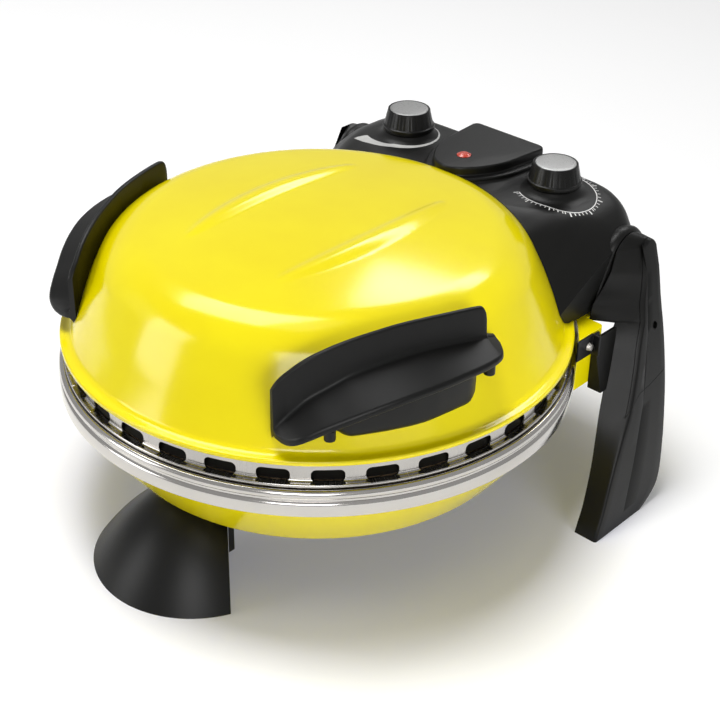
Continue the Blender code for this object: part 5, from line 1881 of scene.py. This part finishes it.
@dataclass
class Leg:
    """Leg of one side: a narrow arch at the hinge that widens to the floor, with its let-in cover.

    Attributes:
        inner_x: Arm's inner face.
        block_x: Lower leg's nearest distance from the middle, beside the hinge block.
        top_width: Arm's width at its top.
        lean: How fast the outer face leans in with height.
        bend: How much more it leans near the top, per metre.
        thickness: Thickness of the lower leg.
        top: Middle of the outer arch as (y, z).
        top_radius: Radius of the outer arch.
        arm_bottom: Height of the arm's underside.
        edge: Rounding of the outer edges.
        cover: Thickness of the cover.
        gap: Clearance round the cover.
        hole: Middle of the cover's screw hole as (y, z).
        hole_radius: Its radius.
        front: Height, outer front y, inner front y and rear y of the leg, in millimetres.
        arm: Height, outer front y, inner front y and rear y of the arm, in millimetres.
        seam: Parting line of the cover as (y, z), in millimetres.
    """

    inner_x: float = 129.6 * MM
    block_x: float = 143.7 * MM
    top_width: float = 13.3 * MM
    lean: float = 0.12
    bend: float = 0.8
    thickness: float = 18 * MM
    top: tuple[float, float] = (179.5 * MM, 174 * MM)
    top_radius: float = 5 * MM
    arm_bottom: float = 131.3 * MM
    edge: float = 2.2 * MM
    cover: float = 2.6 * MM
    gap: float = 0.3 * MM
    hole: tuple[float, float] = (166 * MM, 125.3 * MM)
    hole_radius: float = 2.6 * MM
    front: tuple[tuple[float, ...], ...] = (
        (0, 79, 79, 134),
        (7, 82, 83, 148),
        (17, 88, 89, 157),
        (41, 101, 100, 163),
        (62, 115, 108, 167),
        (78, 127, 115, 170),
        (100, 138.5, 127, 173.5),
        (118, 147, 135, 176),
        (130.7, 155.4, 140.4, 177.5),
    )
    arm: tuple[tuple[float, ...], ...] = (
        (131.3, 155.6, 130.5, 177.6),
        (142.4, 158.8, 132.0, 179.0),
        (151.4, 163.2, 142.6, 181.0),
        (160.8, 168.0, 150.3, 183.0),
    )
    seam: tuple[tuple[float, float], ...] = (
        (120, 72), (132, 82), (140.6, 86.6), (151.7, 88.2), (168.4, 92.1), (196, 101)
    )

    def outer_x(self, z: float) -> float:
        """Distance of the outer face from the middle at one height."""
        top = self.top[1]
        return self.inner_x + self.top_width + self.lean * (top - z) + self.bend * (top * top - z * z)

    def ring(self, depth: float, shrink: float) -> list[Vector]:
        """Outline of the leg, seen from its side, at one depth.

        Args:
            depth: 0 at the inner face and 1 at the outer face.
            shrink: Share of the outline's breadth that is taken away.

        Returns:
            Points in oven coordinates, round the outline.
        """
        arch = ArmArch()
        sweep = math.pi / 2 + math.radians(arch.slope)
        rows = glide(self.front, 4)
        arms = glide(self.arm, 3)
        points = []
        for z, outer, inner, rear in rows:
            points.append((rear, z, rear, z))
        for z, outer, inner, rear in arms:
            points.append((rear + 3.4 * (z - 131.3) / 29.5, z, rear, z))
        steps = 24
        for step in range(steps + 1):
            turn = sweep * step / steps
            point = Vector((math.cos(turn), math.sin(turn)))
            inner = (Vector((arch.y, arch.z)) + point * arch.radius) / MM
            outer = (Vector(self.top) + point * self.top_radius) / MM
            points.append((*inner, *outer))
        for z, outer, inner, rear in reversed(arms):
            points.append((inner, z, outer, z))
        for z, outer, inner, rear in reversed(rows):
            points.append((inner, z, outer, z))
        out = []
        for inner_y, inner_z, outer_y, outer_z in points:
            y = inner_y + (outer_y - inner_y) * depth
            z = (inner_z + (outer_z - inner_z) * depth) * MM
            spine = 106 + 62 * min(z / MM / 160, 1) ** 0.8
            y = (y + (spine - y) * shrink) * MM
            z += 0.6 * MM * shrink * max(0.0, 1 - z / (150 * MM))
            limit = self.inner_x if z >= self.arm_bottom - 0.1 * MM else self.block_x
            start = max(self.outer_x(z) - self.thickness, limit) if limit == self.block_x else limit
            x = start + (self.outer_x(z) - start) * depth
            out.append(Vector((x, y, z)))
        return out

    def body(self) -> Mesh:
        """Skin of the right leg with rounded outer edges and the boss to the hinge block.

        Returns:
            Closed mesh.
        """
        levels = ((0, 0.97), (0, 0.5), (0, 0.04), (0.03, 0.0), (0.2, 0.0), (0.4, 0.0), (0.6, 0.0), (0.75, 0.0))
        rings = [self.ring(depth, shrink) for depth, shrink in levels]
        share = self.edge / self.thickness
        for step in range(5):
            turn = math.pi / 2 * step / 4
            rings.append(self.ring(1 - share * (1 - math.sin(turn)), 0.07 * (1 - math.cos(turn))))
        rings += [self.ring(1, shrink) for shrink in (0.3, 0.6, 0.97)]
        bm = lofted(rings)
        bmesh.ops.remove_doubles(bm, verts=bm.verts, dist=0.002 * MM)
        boss = []
        for z in (90 * MM, 128 * MM):
            reach = self.outer_x(z) - self.thickness + 2 * MM
            reach = max(reach, self.block_x + 2 * MM)
            start = self.block_x + 0.05 * MM
            plan = ((start, 116 * MM), (reach, 116 * MM), (reach, 162 * MM), (start, 162 * MM))
            boss.append([Vector((x, y, z)) for x, y in plan])
        bm = carve(bm, lofted(boss), "UNION")
        hinge = ArmArch()
        bore = hinge.shaft(self.inner_x - 20 * MM, self.inner_x + 9.3 * MM, hinge.bore)
        return carve(bm, bore, "DIFFERENCE")

    def region(self, depth: float, shrink: float) -> Mesh:
        """Outer skin of the leg above the cover's parting line.

        Args:
            depth: Depth under the outer face.
            shrink: Distance that the parting line is raised.

        Returns:
            Closed mesh.
        """
        outline = [Vector((y * MM, z * MM + shrink)) for y, z in glide(self.seam, 5)]
        low, high = outline[0].x, outline[-1].x
        outline += [Vector((high, 192 * MM)), Vector((low, 192 * MM))]
        reach = 80 * MM
        side = lofted([[Vector((x, p.x, p.y)) for p in outline] for x in (reach, 3 * reach)])
        rings = []
        for step in range(25):
            z = 52 * MM + 140 * MM * step / 24
            x = self.outer_x(z) - depth
            plan = ((x, low), (x + reach, low), (x + reach, high), (x, high))
            rings.append([Vector((x, y, z)) for x, y in plan])
        return carve(side, lofted(rings), "INTERSECT")

    def build(self, shop: Workshop) -> None:
        """Cuts the cover out of the right leg and mirrors both to the left.

        Args:
            shop: Workshop.
        """
        cover = carve(self.body(), self.region(self.cover - self.gap, self.gap), "INTERSECT")
        start = Vector((self.inner_x, *self.hole))
        cover = carve(cover, rod(start, start + Vector((80 * MM, 0, 0)), self.hole_radius), "DIFFERENCE")
        leg = carve(self.body(), self.region(self.cover, 0.0), "DIFFERENCE")
        for bm, word in ((leg, "leg"), (cover, "leg_cover")):
            mirrored = bm.copy()
            bmesh.ops.scale(mirrored, vec=(-1, 1, 1), verts=mirrored.verts)
            bmesh.ops.reverse_faces(mirrored, faces=mirrored.faces)
            for side, form in ((Side.RIGHT, bm), (Side.LEFT, mirrored)):
                name = f"{side.label}_moulded_{word}"
                shop.publish(
                    form, name, Body.BASE, shop.palette.plastic, [f"{side.label}_{word}"],
                    bevel=0.3 * MM, crease=40,
                )


@dataclass
class HeatingTube:
    """Tubular element bent to a hairpin of two rings.

    Attributes:
        node: Node that it stands for.
        body: Body that carries it.
        z: Height of its middle.
        tube: Tube's radius.
        outer: Radius of the outer ring.
        inner: Radius of the inner ring.
        start: Angle where the outer ring starts, in degrees.
        gap: Angle left open, in degrees.
        reach: How far the ends stick out to their terminals.
    """

    node: str
    body: Body
    z: float
    tube: float = 3.2 * MM
    outer: float = 112 * MM
    inner: float = 76 * MM
    start: float = 97.0
    gap: float = 48.0
    reach: float = 11 * MM

    def route(self) -> list[Vector]:
        """Middle line of the tube.

        Returns:
            Points in oven coordinates.
        """
        sweep = 360 - self.gap
        turn_back = self.start + sweep
        steps = 84
        stops = [(self.start + sweep * step / steps, self.outer) for step in range(steps + 1)]
        middle = (self.outer + self.inner) / 2
        bulge = (self.outer - self.inner) / 2
        for step in range(1, 16):
            lean = math.pi * step / 16
            aside = math.degrees(math.sin(lean) * bulge / middle)
            stops.append((turn_back + aside, middle + math.cos(lean) * bulge))
        last = 180 - self.start
        stops += [(turn_back + (last - turn_back) * step / steps, self.inner) for step in range(steps + 1)]
        points = []
        for turn, radius in stops:
            angle = math.radians(turn)
            points.append(Vector((math.cos(angle) * radius, math.sin(angle) * radius, self.z)))
        aside = math.cos(math.radians(self.start)) * self.outer
        end_y = self.outer + self.reach
        points.insert(0, Vector((aside, end_y, self.z)))
        points.append(Vector((-aside, self.outer - self.reach, self.z)))
        points.append(Vector((-aside, end_y, self.z)))
        return points

    def build(self, shop: Workshop) -> None:
        """Draws the tube along its middle line.

        Args:
            shop: Workshop.
        """
        line = self.route()
        rings = []
        for index, point in enumerate(line):
            before = line[max(index - 1, 0)]
            after = line[min(index + 1, len(line) - 1)]
            along = (after - before).normalized()
            aside = Vector((-along.y, along.x, 0))
            ring = []
            for step in range(14):
                turn = math.tau * step / 14
                ring.append(point + (aside * math.cos(turn) + Vector((0, 0, 1)) * math.sin(turn)) * self.tube)
            rings.append(ring)
        shop.publish(
            lofted(rings), f"{self.node}_tube", self.body, shop.palette.sheath, [self.node], crease=50
        )


@dataclass
class DialPrint:
    """Printed scales round the knobs, laid on the panel.

    Attributes:
        thickness: Thickness of the ink.
        line: Angle and radius of the timer's line, in degrees and millimetres.
        ticks: Number of marks along that line.
    """

    thickness: float = 0.06 * MM
    line: tuple[tuple[float, float], ...] = (
        (83, 27.4),
        (67, 27.4),
        (47, 28.2),
        (22, 30.6),
        (2, 33.2),
        (-15, 34.6),
        (-29, 34.6),
        (-45, 31.6),
        (-61, 27.4),
        (-82, 25.4),
        (-105, 24.6),
        (-125, 24.4),
    )
    ticks: int = 36

    def ground(self, shop: Workshop) -> Callable[[float, float], float]:
        """Height of the panel under a point.

        Args:
            shop: Workshop.

        Returns:
            Function from oven x and y to z.
        """
        bm = bmesh.new()
        bm.from_mesh(bpy.data.objects["moulded_control_housing"].data)
        tree = BVHTree.FromBMesh(bm)
        bm.free()

        def height(x: float, y: float) -> float:
            """Height of the panel at one oven x and y."""
            hit = tree.ray_cast(Vector((x, y, 0.3)) + shop.centre, Vector((0, 0, -1)))[0]
            return hit.z if hit is not None else 0.197

        return height

    def band(
        self,
        bm: Mesh,
        side: Side,
        ground: Callable[[float, float], float],
        path: Sequence[tuple[float, float, float]],
    ) -> None:
        """Adds a thin band of ink along a path round a knob.

        Args:
            bm: Mesh that gets the band.
            side: Side of the knob.
            ground: Height of the panel.
            path: Angle in degrees, inner and outer radius of each step.
        """
        rings = []
        for turn, inner, outer in path:
            top = []
            for share in (0, 0.25, 0.5, 0.75, 1):
                radius = inner + (outer - inner) * share
                x = side.value * KNOB_X + radius * math.cos(math.radians(turn))
                y = KNOB_Y + radius * math.sin(math.radians(turn))
                top.append(Vector((x, y, ground(x, y) + self.thickness)))
            rings.append(top + [point - Vector((0, 0, 2 * self.thickness)) for point in reversed(top)])
        lofted(rings, bm)

    def swell(self, turn: float) -> tuple[float, float]:
        """Inner and outer radius of the thermostat's swelling mark.

        Args:
            turn: Angle in degrees, from the right and to the rear.

        Returns:
            The two radii.
        """
        share = min(max((75 - turn) / 210, 0), 1)
        inner = 22.6 * MM + 8.5 * MM * max(share - 0.72, 0) / 0.28
        return inner, inner + 1.0 * MM + 9.5 * MM * share**2.6

    def build(self, shop: Workshop) -> None:
        """Lays the thermostat's grey mark and the timer's white line with its marks.

        Args:
            shop: Workshop.
        """
        ground = self.ground(shop)
        bm = bmesh.new()
        turns = [75 - 207 * step / 70 for step in range(71)]
        self.band(bm, Side.LEFT, ground, [(turn, *self.swell(turn)) for turn in turns])
        shop.publish(bm, "thermostat_scale_print", Body.LID, shop.palette.grey_ink, crease=60)
        bm = bmesh.new()
        line = [(turn, radius * MM) for turn, radius in glide(self.line, 6)]
        self.band(bm, Side.RIGHT, ground, [(turn, radius, radius + 0.7 * MM) for turn, radius in line])
        for index in range(self.ticks):
            turn, radius = line[round(index * (len(line) - 1) / (self.ticks - 1))]
            length = 3.4 * MM if index % 5 == 0 else 2.0 * MM
            half = 0.75 if index % 5 == 0 else 0.5
            start = radius + 1.1 * MM
            self.band(
                bm, Side.RIGHT, ground, [(turn + lean, start, start + length) for lean in (-half, 0, half)]
            )
        shop.publish(bm, "timer_scale_print", Body.LID, shop.palette.white_ink, crease=60)


@dataclass
class SmallParts:
    """Pieces that keep the solids' shape and get softer edges or only their finish."""

    black: tuple[tuple[str, Body], ...] = (("housing_cover", Body.LID), ("front_foot_bracket", Body.BASE))
    black_pairs: tuple[tuple[str, Body], ...] = (
        ("handle_screw_front", Body.LID), ("handle_screw_rear", Body.LID)
    )

    def build(self, shop: Workshop) -> None:
        """Refines or dresses each small part.

        Args:
            shop: Workshop.
        """
        for node, body in self.black:
            shop.refine(node, body, shop.palette.plastic)
        for side in Side:
            for part, body in self.black_pairs:
                shop.refine(f"{side.label}_{part}", body, shop.palette.plastic)
            shop.refine(f"{side.label}_hinge_block", Body.BASE, shop.palette.enamel)
            shop.refine(f"{side.label}_hinge_bracket", Body.BASE, shop.palette.phosphate)
            shop.dress(f"{side.label}_bracket_screw", shop.palette.plated)
            shop.dress(f"{side.label}_hinge_pin", shop.palette.plated)
        for dial in ("thermostat", "timer"):
            shop.dress(f"{dial}_shaft", shop.palette.plated)
            shop.dress(f"{dial}_body", shop.palette.plastic)
        for level, body in (("lower", Body.BASE), ("upper", Body.LID)):
            shop.refine(f"{level}_terminal_block", body, shop.palette.ceramic)
            for index in (1, 2, 3):
                shop.dress(f"{level}_element_clip_{index}", shop.palette.phosphate)
        shop.dress("indicator_lens", shop.palette.lens)
        shop.dress("cord_gland", shop.palette.rubber)


def corners(box: tuple[Vector, Vector]) -> list[list[float]]:
    """Box as plain lists of numbers."""
    return [[float(value) for value in corner] for corner in box]


def main() -> None:
    """Builds the scene in order and reports each piece."""
    logging.basicConfig(level=logging.INFO, format="%(message)s")
    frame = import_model()
    low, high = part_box("lower_pan")
    centre = Vector(((low.x + high.x) / 2, (low.y + high.y) / 2, 0.0))
    LOG.info("pan axis at y = %.3f mm", centre.y / MM)
    shop = Workshop(frame["nodes"], centre, Palette(centre))
    PhotoCamera().build(centre)
    Studio().build()

    lid = LidShell()
    lid.build_dome(shop)
    lid.build_vent_ring(shop)
    lid.build_reflector(shop)
    pan = PanShell()
    pan.build_pan(shop)
    pan.build_band(shop)
    pan.build_dish(shop)
    pan.build_stone(shop)
    for knob in (Knob("thermostat", Side.LEFT, Body.THERMOSTAT), Knob("timer", Side.RIGHT, Body.TIMER)):
        knob.build_knob(shop)
        knob.build_cap(shop)
    ControlHousing().build(shop, lid)
    for side in Side:
        handle = Handle(side)
        handle.build_grip(shop, lid)
        handle.build_bracket(shop, lid)
    Leg().build(shop)
    FrontFoot().build(shop, pan)
    HeatingTube("lower_heating_element", Body.BASE, 80.2 * MM).build(shop)
    HeatingTube("upper_heating_element", Body.LID, 145.0 * MM).build(shop)
    DialPrint().build(shop)
    SmallParts().build(shop)


if __name__ == "__main__":
    main()
